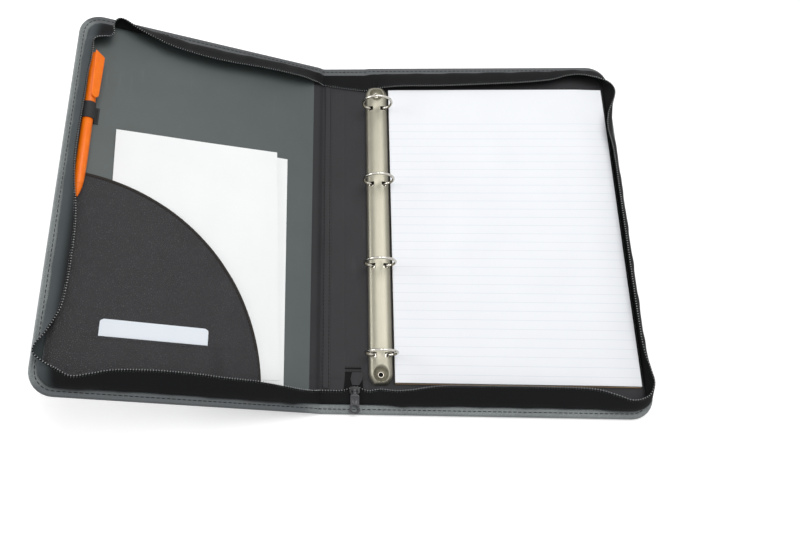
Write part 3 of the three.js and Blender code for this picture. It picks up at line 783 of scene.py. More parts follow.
def catmull(points: Sequence[Sequence[float]], step: float) -> Points:
    """A smooth curve through points, sampled evenly.

    Args:
        points: What it goes through.
        step: Millimetres between samples, roughly.

    Returns:
        Samples of shape (samples, 3), both ends included.
    """
    p = np.asarray(points, float)
    p = np.concatenate([[2 * p[0] - p[1]], p, [2 * p[-1] - p[-2]]])
    knots = np.concatenate([[0], np.cumsum(np.sqrt(np.maximum(np.linalg.norm(np.diff(p, axis=0), axis=1), 1e-6)))])
    pieces = []
    for k in range(1, len(p) - 2):
        t0, t1, t2, t3 = knots[k - 1:k + 3]
        t = np.linspace(t1, t2, 24, endpoint=False)[:, None]
        a1 = ((t1 - t) * p[k - 1] + (t - t0) * p[k]) / (t1 - t0)
        a2 = ((t2 - t) * p[k] + (t - t1) * p[k + 1]) / (t2 - t1)
        a3 = ((t3 - t) * p[k + 1] + (t - t2) * p[k + 2]) / (t3 - t2)
        b1 = ((t2 - t) * a1 + (t - t0) * a2) / (t2 - t0)
        b2 = ((t3 - t) * a2 + (t - t1) * a3) / (t3 - t1)
        pieces.append(((t2 - t) * b1 + (t - t1) * b2) / (t2 - t1))
    fine = np.concatenate(pieces + [p[-2:-1]])
    return spread(fine, step)


def lengths(path: Points) -> Points:
    """How far along a path each of its points is."""
    return np.concatenate([[0], np.cumsum(np.linalg.norm(np.diff(path, axis=0), axis=1))])


def spread(path: Points, step: float) -> Points:
    """The same path with evenly spaced points about a step apart."""
    far = lengths(path)
    count = max(int(round(far[-1] / step)), 1) + 1
    wanted = np.linspace(0, far[-1], count)
    return np.stack([np.interp(wanted, far, path[:, k]) for k in range(path.shape[1])], axis=1)


def round_slab(outline: Points, low: float, high: float, edge: float) -> Points:
    """Rows of a closed body with rounded edges over a flat outline.

    Args:
        outline: Points (x, y) round the body.
        low: Height of its underside.
        high: Height of its top.
        edge: Radius of its edges.

    Returns:
        Rows for Mesh.closed_loft.
    """
    middle = (outline.max(0) + outline.min(0)) / 2
    reach = np.abs(outline - middle).max(0)
    steps = [(edge * (1 - math.sin(a)), edge * (1 - math.cos(a))) for a in np.radians([0, 30, 60, 90])]
    rows = [(inset, low + rise) for inset, rise in steps]
    rows += [(inset, high - rise) for inset, rise in reversed(steps)]
    made = []
    for inset, height in rows:
        ring = middle + (outline - middle) * (1 - inset / reach)
        made.append(np.column_stack([ring, np.full(len(ring), height)]))
    return np.array(made)


STITCH = ((-1.0, 0.25), (-0.8, 0.8), (-0.3, 1.0), (0.3, 1.0), (0.8, 0.8), (1.0, 0.25))


def sew(mesh: Mesh, path: Points, up: Points, pitch: float = 4.2, gap: float = 1.1, thread: float = 0.3,
        mark: int = 0) -> None:
    """Adds a row of lockstitches along a path.

    Args:
        mesh: Mesh that takes them.
        path: Points along the row.
        up: Direction away from the cloth at each point, or one for all.
        pitch: Millimetres from stitch to stitch.
        gap: Millimetres between two stitches.
        thread: Half the thread's width.
        mark: Number of the thread's material.
    """
    line = spread(path, pitch)
    ways = np.diff(line, axis=0)
    places = (line[1:] + line[:-1]) / 2
    facing = np.broadcast_to(np.asarray(up, float), (len(places), 3)) if np.ndim(up) == 1 else None
    if facing is None:
        far, here = lengths(path), lengths(line)
        middles = (here[1:] + here[:-1]) / 2 * far[-1] / here[-1]
        facing = np.stack([np.interp(middles, far, up[:, k]) for k in range(3)], axis=1)
    mesh.beads(places, ways, facing, ((pitch - gap) / 2, thread, thread * 0.8), STITCH, mark=mark)


@dataclass(frozen=True)
class Board:
    """One cover's own plane: across from its fold, along the rings, and up from the fold's height."""

    fold: float
    side: int
    tilt: float
    height: float = 0.9

    def at(self, u: Points, y: Points, h: Points) -> Points:
        """Places points of the cover's plane in the row frame.

        Args:
            u: Millimetres from the fold.
            y: Along the rings.
            h: Up from the fold's height, square to the cover.

        Returns:
            Points (x, y, z).
        """
        turn = math.radians(self.tilt)
        u, y, h = np.broadcast_arrays(np.asarray(u, float), y, h)
        x = self.fold + self.side * (u * math.cos(turn) - h * math.sin(turn))
        return np.stack([x, y, self.height + u * math.sin(turn) + h * math.cos(turn)], axis=-1)

    def up(self) -> Points:
        """The direction square to the cover."""
        turn = math.radians(self.tilt)
        return np.array([-self.side * math.sin(turn), 0, math.cos(turn)])


@dataclass(frozen=True)
class Binder:
    """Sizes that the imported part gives, shared by the pieces."""

    length: float = 339.0
    width: float = 239.0
    corner: float = 20.0
    leaf: float = 20.0
    rear_fold: float = -11.5
    tilt: float = 24.0
    hem: float = 8.2
    fore_hem: float = 5.75
    under: float = -0.9
    cover_rim: float = 2.7
    leaf_rim: float = 1.5
    lining_top: float = 2.6
    tape_gap: float = 0.35
    joint_from_fold: float = 12.0
    bend: float = 8.0

    @property
    def front_fold(self) -> float:
        """Where the front cover folds."""
        return self.rear_fold - 2 * self.leaf

    @property
    def rear(self) -> Board:
        """The rear cover's plane."""
        return Board(self.rear_fold, 1, 0.0)

    @property
    def front(self) -> Board:
        """The front cover's plane."""
        return Board(self.front_fold, -1, self.tilt)

    def outline(self, inset: float, start: float, step: float = 3.0) -> tuple[Points, Points]:
        """The cover's foot, fore edge and head, seen square to the cover.

        Args:
            inset: Millimetres in from the edge.
            start: Distance from the fold at which it begins and ends.
            step: Millimetres between points.

        Returns:
            Points (u, y) and the inward direction at each.
        """
        half, far, r = self.length / 2, self.width, self.corner
        turns = np.linspace(-math.pi / 2, 0, 9)
        foot = [(u, -half, 0, 1) for u in np.linspace(start, far - r, int((far - r - start) / step))[:-1]]
        low = [(far - r + r * math.cos(a), r - half + r * math.sin(a), -math.cos(a), -math.sin(a)) for a in turns]
        fore = [(far, y, -1, 0) for y in np.linspace(r - half, half - r, int((2 * half - 2 * r) / step))[1:-1]]
        high = [(u, -y, iu, -iy) for u, y, iu, iy in reversed(low)]
        head = [(u, half, 0, -1) for u, *_ in reversed(foot)]
        every = np.array(foot + low + fore + high + head)
        return every[:, :2] + every[:, 2:] * inset, every[:, 2:]

    def lip(self, board: Board, inward: Points) -> Points:
        """How far in the hem's lip lies: less along the rear cover's fore edge, where the pad comes close."""
        narrow = ramp(-inward[:, 0]) if board.side > 0 else np.zeros(len(inward))
        return mix(self.hem, self.fore_hem, narrow)

    def share(self, s: Points) -> Points:
        """How much of a cover's build there is at s: 0 on the spine, 1 on the covers."""
        return ramp(-s / 6) + ramp((s - 2 * self.leaf) / 6)

    def spine(self, s: Points, y: Points, h: Points) -> Points:
        """Places points of the spine's run, from the rear cover over two leaves to the front cover.

        Args:
            s: Millimetres from the rear fold towards the front cover.
            y: Along the rings.
            h: Up from the folds' height.

        Returns:
            Points (x, y, z).
        """
        s, y, h = np.broadcast_arrays(np.asarray(s, float), y, h)
        flat = np.stack([self.rear_fold - s, y, 0.9 + h], axis=-1)
        tilted = self.front.at(s - 2 * self.leaf, y, h)
        w = ramp((s - 2 * self.leaf + self.bend) / (2 * self.bend))[..., None]
        placed = flat * (1 - w) + tilted * w
        placed[..., 2] = np.maximum(placed[..., 2], flat[..., 2])
        return placed


binder = Binder()

LIP = ((1.0, 0.66), (0.94, 0.84), (0.82, 0.96), (0.58, 1.02), (0.3, 1.0), (0.1, 0.955))
RIM = ((2.8, 0.94), (2.55, 0.955), (2.0, 0.99), (1.2, 0.955), (0.5, 0.83), (0.1, 0.64), (-0.06, 0.4), (0.04, 0.2),
       (0.4, 0.06), (1.2, 0.0), (5.3, 0.0), (5.7, 0.03), (6.1, 0.045), (6.5, 0.03), (6.9, 0.0), (14.0, 0.0))


def rim_section(top: Points, reach: Points) -> tuple[Points, Points]:
    """The turned hem's section, from its inner lip round the edge to the underside.

    Args:
        top: Height of the hem at each place along it.
        reach: How far in from the edge its lip lies at each place.

    Returns:
        Inset and height, each of shape (places, section points).
    """
    crease = RIM[0][0]
    reach = np.asarray(reach, float)[:, None]
    lip = crease + np.array([p[0] for p in LIP]) * (reach - crease)
    inset = np.concatenate([lip, np.broadcast_to([p[0] for p in RIM], (len(lip), len(RIM)))], axis=1)
    level = np.array([p[1] for p in LIP + RIM])
    top = np.asarray(top, float)[:, None]
    return inset, binder.under + level * (top - binder.under)


class Fold(Enum):
    """The three folds, each with its two bodies and its run along the spine."""

    REAR = ("rear_fold", "rear_cover", "spine_rear", -12.0, 10.0, 0.0)
    MIDDLE = ("middle_fold", "spine_rear", "spine_front", 10.0, 30.0, 20.0)
    FRONT = ("front_fold", "spine_front", "front_cover", 30.0, 52.0, 40.0)

    @property
    def title(self) -> str:
        """Its name in a piece's name."""
        return self.value[0]

    def run(self, step: float = 0.8) -> Points:
        """Places along the spine that its pieces pass through."""
        start, end = self.value[3:5]
        return np.linspace(start, end, int((end - start) / step) + 1)

    def bend(self, piece: bpy.types.Object, slot: str, *nodes: str, reach: float = 5.0) -> bpy.types.Object:
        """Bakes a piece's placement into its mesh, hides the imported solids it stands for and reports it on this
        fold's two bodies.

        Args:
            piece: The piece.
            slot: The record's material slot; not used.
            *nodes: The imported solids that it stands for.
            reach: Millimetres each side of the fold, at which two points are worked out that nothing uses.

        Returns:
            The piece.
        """
        middle = self.value[5]
        start = binder.spine(middle - reach, 0.0, 0.0) * MM
        end = binder.spine(middle + reach, 0.0, 0.0) * MM
        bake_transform(piece)
        if nodes:
            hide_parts(*nodes)
        report(piece, self.value[1] + " and " + self.value[2])
        return piece


class Studio:
    """Camera, floor and lamps."""

    place = (-0.0397769, -0.23375889, 0.64669291)
    right = (0.99884035, 0.02150875, -0.04307355)
    down = (0.00479977, -0.93468916, -0.35543374)
    ahead = (-0.04790531, 0.35481481, -0.93370848)
    focal_pixels = 735.7505
    image_size = (800.0, 547.0)
    centre_pixel = (300.0, 215.0)
    sensor = 36.0
    fill = 0.46

    def camera(self) -> None:
        """Stands the camera where the photograph was taken."""
        data = bpy.data.cameras.new("photo_camera")
        data.sensor_width = self.sensor
        wide, high = self.image_size
        data.lens = self.focal_pixels * self.sensor / wide
        data.shift_x = (wide / 2 - self.centre_pixel[0]) / wide
        data.shift_y = (self.centre_pixel[1] - high / 2) / wide
        data.clip_start = 0.01
        data.clip_end = 50
        made = bpy.data.objects.new("photo_camera", data)
        axes = Matrix((self.right, [-d for d in self.down], [-a for a in self.ahead])).transposed()
        made.matrix_world = Matrix.Translation(self.place) @ axes.to_4x4()
        bpy.context.scene.collection.objects.link(made)
        bpy.context.scene.camera = made

    def floor(self) -> None:
        """Lays the pale floor, which a lens and polished metal see as white and which keeps the shadow."""
        r = Recipe("studio_floor")
        lift = r.seen() * 0.36
        glow = r.node("CombineColor", sockets={0: lift, 1: lift, 2: lift})
        colour = r.tone("e4e4e4", "e8e8e8", r.noise(90.0, 2.0))
        material = r.finish(Base_Color=colour, Roughness=0.9, Specular_IOR_Level=0.0, Emission_Color=glow,
                            Emission_Strength=1.0)
        data = bpy.data.meshes.new("studio_floor")
        far = 4.0
        data.from_pydata([(-far, -far, 0), (far, -far, 0), (far, far, 0), (-far, far, 0)], [], [(0, 1, 2, 3)])
        data.materials.append(material)
        made = bpy.data.objects.new("studio_floor", data)
        made.location.z = -0.0004
        bpy.context.scene.collection.objects.link(made)

    def lamp(self, name: str, place: Sequence[float], size: float, power: float) -> None:
        """Hangs one square soft light that faces the binder.

        Args:
            name: Its name.
            place: Where it hangs, in metres.
            size: Its side, in metres.
            power: Its power, in watts.
        """
        data = bpy.data.lights.new(name, "AREA")
        data.size = size
        data.energy = power
        made = bpy.data.objects.new(name, data)
        made.location = place
        made.rotation_euler = (-Vector(place)).to_track_quat("-Z", "Y").to_euler()
        bpy.context.scene.collection.objects.link(made)

    def build(self) -> None:
        """Sets the studio up."""
        self.camera()
        self.floor()
        world = bpy.data.worlds.new("studio")
        bpy.context.scene.world = world
        world.use_nodes = True
        back = next(n for n in world.node_tree.nodes if n.type == "BACKGROUND")
        back.inputs["Color"].default_value = (1, 1, 1, 1)
        sky = Nodes(world.node_tree)
        feed(sky.tree, back.inputs["Strength"], self.fill + sky.seen() * (1.0 - self.fill))
        self.lamp("key_light", (0.35, 0.3, 1.4), 1.0, 13.5)
        self.lamp("side_light", (-1.25, 0.15, 0.6), 0.7, 9.0)
        bpy.context.scene.view_settings.view_transform = "Standard"
        log.info("studio ready")


@dataclass
class CoverSkin:
    """A cover's board wrapped in grained skin, with its turned and sewn hem."""

    board: Board
    title: str
    stitch_inset: float = 4.1
    outer_stitch_inset: float = 6.1

    def skin(self) -> bpy.types.Object:
        """Builds the wrapped board beyond the fold's own strip."""
        outline, inward = binder.outline(0.0, binder.joint_from_fold)
        inset, height = rim_section(np.full(len(outline), binder.cover_rim), binder.lip(self.board, inward))
        at = outline[:, None] + inward[:, None] * inset[..., None]
        rows = self.board.at(at[..., 0], at[..., 1], height)
        mesh = Mesh()
        mesh.grid(rows)
        mesh.patch(rows[:, 0])
        mesh.patch(rows[:, -1])
        mesh.patch(np.concatenate([rows[0], rows[-1][::-1]]))
        skin = mesh.object(self.title + "_cover_skin", Finishes.COVER)
        return carry(skin, self.title + "_cover", "cover_grain", self.title + "_cover")

    def stitches(self) -> bpy.types.Object:
        """Sews the hem, inside and outside."""
        mesh = Mesh()
        for inset, height in ((self.stitch_inset, binder.cover_rim + 0.08), (self.outer_stitch_inset, -0.72)):
            outline, _ = binder.outline(inset, binder.joint_from_fold)
            row = self.board.at(outline[:, 0], outline[:, 1], np.full(len(outline), height))
            sew(mesh, row, self.board.up())
        made = mesh.object(self.title + "_cover_stitches", Finishes.THREAD)
        return carry(made, self.title + "_cover", "zip_tape")

    def lining(self, finish: Finishes, slot: str) -> bpy.types.Object:
        """Lays the lining, rolled down along its seam."""
        steps = ((0.75, 1.95), (0.75, 2.2), (1.5, 2.48), (3.0, 2.6), (7.0, 2.6))
        outline, inward = binder.outline(0.0, binder.joint_from_fold)
        inset = binder.lip(self.board, inward)[:, None] + np.array([s[0] for s in steps])
        at = outline[:, None] + inward[:, None] * inset[..., None]
        height = np.broadcast_to([s[1] for s in steps], at.shape[:2])
        rows = self.board.at(at[..., 0], at[..., 1], height)
        mesh = Mesh()
        mesh.grid(rows)
        mesh.patch(rows[:, -1])
        mesh.patch(rows[:, 0])
        mesh.patch(np.concatenate([rows[0], rows[-1][::-1]]))
        made = mesh.object(self.title + "_lining_sheet", finish)
        (binder.width - 18.6) * MM
        self.title + "_cover_skin"
        return carry(made, self.title + "_cover", slot, self.title + "_lining")


@dataclass
class SpineSkin:
    """The skin, linings and stitches that cross the three folds."""

    lining_low: float = 1.0
    recess_from: float = -139.0
    recess_depth: float = 0.35

    def skin(self, fold: Fold) -> bpy.types.Object:
        """Builds one fold's strip of the outer skin, with its hems at foot and head."""
        s = fold.run()
        share = binder.share(s)
        top = mix(binder.leaf_rim, binder.cover_rim, share)
        inset, height = rim_section(top, np.full(len(s), binder.hem))
        half = binder.length / 2
        crease = 0.35 * np.exp(-(((s - 20.0) / 1.2) ** 2))
        height = np.where(height > 1.0, height - crease[:, None], height)
        middle = np.linspace(14.0, binder.length - 14.0, 24)[1:-1]
        foot = np.stack([inset - half, height], axis=-1)
        head = np.stack([half - inset, height], axis=-1)[:, ::-1]
        run = np.stack([np.broadcast_to(middle - half, (len(s), len(middle))),
                        np.full((len(s), len(middle)), binder.under)], axis=-1)
        board_top = mix(0.7, 1.9, share)
        back = np.stack([np.broadcast_to((half - middle)[None], (len(s), len(middle))),
                         np.broadcast_to(board_top[:, None], (len(s), len(middle)))], axis=-1)
        loop = np.concatenate([foot, run, head, back], axis=1)
        rows = binder.spine(s[:, None], loop[..., 0], loop[..., 1])
        mesh = Mesh()
        mesh.closed_loft(rows)
        made = mesh.object("spine_skin_" + fold.title, Finishes.COVER, crease=50.0)
        stands = {Fold.REAR: ["spine_rear_leaf"], Fold.MIDDLE: [], Fold.FRONT: ["spine_front_leaf"]}
        return fold.bend(made, "cover_grain", *stands[fold])

    def stitches(self, fold: Fold) -> bpy.types.Object:
        """Sews one fold's strip, inside and outside, at foot and head."""
        mesh = Mesh()
        s = fold.run()
        top = mix(binder.leaf_rim, binder.cover_rim, binder.share(s))
        for end in (-1, 1):
            for inset, height in ((4.1, top + 0.08), (6.1, np.full(len(s), -0.72))):
                y = np.full(len(s), end * (binder.length / 2 - inset))
                sew(mesh, binder.spine(s, y, height), (0, 0, 1))
        made = mesh.object("spine_stitches_" + fold.title, Finishes.THREAD)
        return fold.bend(made, "zip_tape")

    def lining(self, fold: Fold) -> bpy.types.Object:
        """Lays one fold's strip of lining, with the shallow recess beside the slider."""
        s = fold.run()
        y = np.linspace(-160.5, 160.5, 260)
        top = mix(binder.leaf_rim, binder.lining_top, binder.share(s))[:, None]
        dip = 0.3 * np.exp(-(((s - 20.0) / 1.0) ** 2))[:, None] * 0.5
        recess = self.recess_depth * ramp((self.recess_from - y[None]) / 0.8)
        wave = 0.06 * np.sin(y[None] / 9.0 + s[:, None] / 5.0)
        height = top - 0.2 - dip - recess + wave
        rows = binder.spine(s[:, None], np.broadcast_to(y, height.shape), height)
        mesh = Mesh()
        mesh.sheet(rows, 0.4)
        made = mesh.object("spine_lining_" + fold.title, Finishes.CHARCOAL)
        "spine_skin_" + fold.title
        stands = {Fold.REAR: ["spine_rear_lining"], Fold.MIDDLE: [], Fold.FRONT: ["spine_front_lining"]}
        return fold.bend(made, "lining_black", *stands[fold])

    def slider_bay(self) -> list[bpy.types.Object]:
        """Lays the dark bay above the slider, the strap that runs down it and two sewn lips across its head."""
        level = binder.leaf_rim
        bay, strap, lips = Mesh(), Mesh(), Mesh()
        t = np.linspace(0, 1, 30)[:, None]
        across = np.linspace(-1, 1, 24)[None]
        y = mix(-134.8, -149.5, t)
        s = mix(11.6, 12.0, t) + across * mix(7.6, 8.6, t ** 2)
        bay.sheet(binder.spine(s, y, level + 0.06 - 0.1 * across ** 2), 0.3)
        y = mix(-134.2, -145.4, t)
        half = np.where(t < 0.55, mix(4.7, 5.1, t / 0.55), mix(5.1, 3.0, (t - 0.55) / 0.45))
        s = mix(8.5, 10.2, t) + across * half
        strap.sheet(binder.spine(s, y, level + mix(0.5, 1.3, t) + 0.3 * (1 - across ** 4)), 0.5)
        for place, low, high in ((-131.0, 5.2, 19.4), (-134.4, 5.0, 19.2)):
            s = np.linspace(low, high, 24)
            lips.tube(binder.spine(s, np.full(24, place), np.full(24, level + 0.1)), 0.62, sides=10, flat=0.75)
            sew(lips, binder.spine(s, np.full(24, place + 1.3), np.full(24, level + 0.12)), (0, 0, 1), 2.4, 0.7, 0.24,
                mark=1)
        made = [bay.object("slider_bay_lining", Finishes.TAPE), strap.object("slider_bay_strap", Finishes.CHARCOAL),
                lips.object("slider_bay_lips", Finishes.TAPE, Finishes.THREAD)]
        return [carry(piece, "spine_rear", "zip_tape") for piece in made]

    def seam_strip(self) -> bpy.types.Object:
        """Lays the raised strip over the front seam, with its own stitches."""
        half = 147.8
        y = np.linspace(-half, half, 220)
        across = np.linspace(-1, 1, 9)
        s = 36.1 + 3.75 * across
        height = 1.75 + 0.4 * (1 - across ** 4)
        rows = binder.spine(s[:, None], np.broadcast_to(y, (9, 220)), height[:, None] + 0.04 * np.sin(y[None] / 7))
        mesh = Mesh()
        mesh.sheet(rows, 0.4)
        for side in (-2.6, 2.6):
            sew(mesh, binder.spine(np.full(220, 36.1 + side), y, np.full(220, 2.3)), (0, 0, 1), 3.4, 0.9, 0.26, mark=1)
        made = mesh.object("spine_seam_tape", Finishes.CHARCOAL, Finishes.THREAD)
        return carry(made, "spine_front", "zip_tape", "spine_seam_strip")

    def build(self) -> None:
        """Builds every strip."""
        for fold in Fold:
            self.skin(fold)
            self.stitches(fold)
            self.lining(fold)
        self.slider_bay()
        self.seam_strip()


@dataclass
class ZipTape:
    """The standing zip tape of one cover and its coil, with the corner where it folds on itself."""

    board: Board
    title: str
    crest: tuple[tuple[float, float, float], ...]
    lean: dict[str, float]
    bulge: float = 0.55
    width: float = 20.0
    thickness: float = 0.6
    base: float = 2.2
    flat_lean: float = 9.6
    flat_height: float = 4.2
    crest_height: float = 15.245
    rise_from: float = 3.0
    rise_over: float = 24.0

    def seam(self) -> tuple[Points, Points]:
        """Where the tape is sewn in, with the inward direction."""
        outline, inward = binder.outline(0.0, binder.joint_from_fold, 1.2)
        inset = binder.lip(self.board, inward) + binder.tape_gap
        return outline + inward * inset[:, None], inward

    def surface(self, rows: int = 13) -> Points:
        """Works out the tape's middle from its seam to its crest.

        Args:
            rows: Points from seam to crest.

        Returns:
            Points of shape (along, rows, 3) in the cover's plane: u, y, h.
        """
        seam, inward = self.seam()
        along = lengths(seam)
        crest = catmull(self.crest, 1.0)
        marks = np.array(self.crest)
        nearest = np.array([along[np.argmin(np.linalg.norm(seam - m[:2], axis=1))] for m in marks])
        nearest[0], nearest[-1] = 0.0, along[-1]
        nearest = np.maximum.accumulate(nearest)
        spare = np.arange(len(nearest)) * 1e-3
        crest_along = lengths(crest)
        mark_along = np.array([crest_along[np.argmin(np.linalg.norm(crest - m, axis=1))] for m in marks])
        mark_along = np.maximum.accumulate(mark_along) + spare
        wanted = np.interp(crest_along, mark_along, nearest + spare)
        foot = np.stack([np.interp(wanted, along, seam[:, k]) for k in (0, 1)], axis=1)
        into = np.stack([np.interp(wanted, along, inward[:, k]) for k in (0, 1)], axis=1)
        rise = ramp((foot[:, 0] - self.rise_from) / self.rise_over)[:, None]
        t = np.linspace(0, 1, rows)[None]
        reach = mix(t * t, ramp(t) * t, rise)
        climb = mix(1 - (1 - t) ** 6, t, rise)
        chord = np.linalg.norm(crest - np.column_stack([foot, np.full(len(foot), self.base)]), axis=1)
        slack = np.sqrt(np.clip(0.375 * chord * (self.width - chord), 0, 30))[:, None]
        ripple = np.sin(wanted / 5.9)[:, None] * 0.35 + np.sin(wanted / 2.7 + 1.0)[:, None] * 0.14
        onset = ramp((foot[:, 0] - binder.joint_from_fold) / 18)[:, None]
        swell = (slack * self.bulge + ripple) * np.sin(math.pi * t) * onset
        plan = foot[:, None] + (crest[:, None, :2] - foot[:, None]) * reach[..., None] - into[:, None] * swell[..., None]
        height = self.base + (crest[:, None, 2] - self.base) * climb
        return np.concatenate([plan, height[..., None]], axis=2)

    def tape(self) -> bpy.types.Object:
        """Builds the tape."""
        middle = self.surface()
        mesh = Mesh()
        mesh.sheet(self.board.at(middle[..., 0], middle[..., 1], middle[..., 2]), self.thickness)
        made = mesh.object(self.title + "_zip_tape", Finishes.TAPE, crease=70.0)
        self.width * MM
        self.title + "_cover_skin"
        return carry(made, self.title + "_cover", "zip_tape", self.title + "_gusset")

    def coil(self) -> bpy.types.Object:
        """Builds the coil's teeth and the cord under them along the crest."""
        middle = self.surface()
        at = self.board.at(middle[..., 0], middle[..., 1], middle[..., 2])
        made = teeth(self.title + "_coil_teeth", at[:, -1], at[:, -1] - at[:, -3])
        return carry(made, self.title + "_cover", "zip_coil", self.title + "_zip_coil")

    def build(self) -> None:
        """Builds the tape and its coil."""
        self.tape()
        self.coil()


TOOTH = ((-1.0, 0.55), (-0.75, 0.8), (0.1, 0.8), (0.5, 1.15), (0.85, 1.1), (1.0, 0.6))


def teeth(name: str, crest: Points, out: Points, pitch: float = 2.2) -> bpy.types.Object:
    """Strings zip teeth along a tape's edge.

    Args:
        name: Name of the piece.
        crest: Points along the tape's edge.
        out: Direction from the tape outwards at each point.
        pitch: Millimetres from tooth to tooth.

    Returns:
        The teeth and their cord.
    """
    far = lengths(crest)
    count = max(int(far[-1] / pitch), 2)
    wanted = (np.arange(count) + 0.5) * far[-1] / count
    out = out / np.linalg.norm(out, axis=1, keepdims=True)
    pick = [np.stack([np.interp(wanted, far, a[:, k]) for k in range(3)], axis=1) for a in (crest, out)]
    places, ways = pick
    tangent = np.gradient(places, axis=0)
    face = np.cross(ways, tangent)
    mesh = Mesh()
    # painted highlight: the teeth take the pale TEETH finish, while the cord stays black
    mesh.beads(places + ways * 0.6, ways, face, (1.1, 0.3, 0.5), TOOTH, sides=6, mark=1)
    cord = spread(crest + out * 0.3, 1.6)
    mesh.tube(cord, 0.55, sides=8, up=(0, 0, 1))
    return mesh.object(name, Finishes.COIL, Finishes.TEETH)


@dataclass
class SpineTape:
    """The zip tape and coil where they lie flat across the folds."""

    front: ZipTape
    rear: ZipTape
    slider_dip: float = 3.6
    head_dips: tuple[float, float, float] = (7.4, 5.0, 1.2)

    def section(self, fold: Fold, end: int, rows: int = 13) -> Points:
        """The tape's middle across one fold.

        Args:
            fold: The fold.
            end: -1 at the foot, 1 at the head.
            rows: Points from seam to crest.

        Returns:
            Points (x, y, z) of shape (along, rows, 3).
        """
        s = fold.run()
        share = binder.share(s)
        cover = self.rear if fold is Fold.REAR else self.front
        crest = np.array(cover.crest[0 if end < 0 else -1])
        u = np.where(s < 0, -s, s - 2 * binder.leaf)
        rise = ramp((u - cover.rise_from) / cover.rise_over)[:, None]
        reach_to = ramp(np.maximum(u, 0) / binder.joint_from_fold)
        half = binder.length / 2 - binder.hem - binder.tape_gap
        dip = self.slider_dip * np.exp(-(((s - 10.5) / 7.0) ** 2))
        if end > 0:
            dip = np.interp(s, (0.0, 18.0, 40.0), self.head_dips)
        lean = mix(cover.flat_lean + dip, half - abs(crest[1]), reach_to)[:, None]
        base = mix(1.0, cover.base, share)[:, None]
        top = mix(mix(3.3, cover.flat_height, share), crest[2], reach_to)[:, None]
        t = np.linspace(0, 1, rows)[None]
        inward = lean * mix(t * t, ramp(t) * t, rise)
        height = base + (top - base) * mix(1 - (1 - t) ** 6, t, rise)
        return binder.spine(s[:, None], end * (half - inward), height)

    def build(self) -> None:
        """Builds tape and coil across each fold, at foot and head."""
        leaf = {Fold.REAR: "spine_rear", Fold.FRONT: "spine_front"}
        for fold in Fold:
            for end, where in ((-1, "foot"), (1, "head")):
                middle = self.section(fold, end)
                mesh = Mesh()
                mesh.sheet(middle, self.front.thickness)
                tape = mesh.object("zip_tape_" + fold.title + "_" + where, Finishes.TAPE, crease=70.0)
                "spine_skin_" + fold.title
                stands = [leaf[fold] + "_" + where + "_flap"] if fold in leaf else []
                fold.bend(tape, "zip_tape", *stands)
                coil = teeth("coil_teeth_" + fold.title + "_" + where, middle[:, -1], middle[:, -1] - middle[:, -3])
                stands = [leaf[fold] + "_" + where + "_coil"] if fold in leaf else []
                fold.bend(coil, "zip_coil", *stands)


FRONT_CREST = (
    (11.6, -152.6, 7.7), (24.1, -152.8, 12.8), (36.9, -151.7, 15), (59.5, -149.5, 15.2),
    (87.5, -148.7, 15.2), (115.5, -147.3, 15.2), (144.1, -147.1, 15.2), (166.4, -148.1, 15.2),
    (181.3, -149.7, 15.2), (195.7, -153.3, 15.2), (209.6, -155.8, 15.2), (216.7, -153, 15.2),
    (224.4, -149.1, 15.2), (232, -145.1, 15.2), (236.7, -141.8, 15.2), (238.5, -138.7, 15.2),
    (237.2, -133, 15.2), (233.2, -126.6, 15.2), (228.7, -117.1, 15.2), (223.6, -103.8, 15.2),
    (221.5, -85, 15.2), (221.1, -65.6, 15.2), (221, -49, 15.2), (221.7, -32.7, 15.2), (223.7, -16.2, 15.2),
    (226.5, -0.1, 15.2), (228.4, 16.5, 15.2), (229.1, 39.2, 15.2), (228.7, 53.6, 15.2), (228.4, 70.4, 15.2),
    (228, 87.9, 15.2), (227.9, 103.2, 15.2), (226.9, 115.6, 15.2), (226.7, 128.3, 15.2), (226.8, 136.1, 15),
    (223.5, 139.2, 15), (217.7, 141.7, 14.8), (212, 144.5, 14.8), (209.7, 148.7, 14.8), (210.6, 153.3, 15),
    (210.4, 158.5, 14.5), (206.7, 163.4, 14.2), (201.1, 163.2, 14.5), (193.6, 159.5, 15),
    (181.9, 154.7, 15.2), (170.7, 151.5, 15.2), (161.7, 148.7, 15.2), (133.4, 145.2, 15.2),
    (104.6, 144.8, 15.2), (66, 147, 15.2), (36.5, 147.4, 15), (24, 148.2, 12.8), (11.5, 149.8, 7.7),
)
REAR_CREST = (
    (11.6, -150, 7.7), (24.2, -151.7, 12.8), (36.5, -151, 14.8), (49.5, -148.9, 15.2), (65.7, -147.3, 15.2),
    (100, -147, 15.2), (150, -147, 15.2), (190, -148.5, 15.2), (206, -153, 15.2), (218, -156.5, 15.2),
    (230.5, -152.4, 15.2), (236.4, -142, 15.2), (235, -129.4, 15.2), (232.2, -113, 15.2),
    (231.4, -84, 15.2), (231.2, 4, 15.2), (230.8, 76, 15.2), (228.9, 96.5, 15.2), (231.4, 112.1, 15.2),
    (236.3, 123.9, 15.2), (239.2, 135.9, 15.2), (235.5, 144.1, 15.2), (225.4, 149.9, 15),
    (215.5, 153.6, 14.5), (205, 155.4, 13.5), (193.9, 153.8, 12.9), (182.7, 150.6, 12.6),
    (160.7, 148.3, 12.2), (116.1, 146.0, 12.05), (71.5, 144.4, 12.05), (36.5, 144.3, 11.8),
    (24.3, 144.2, 10.5), (12.5, 144.6, 7.2),
)


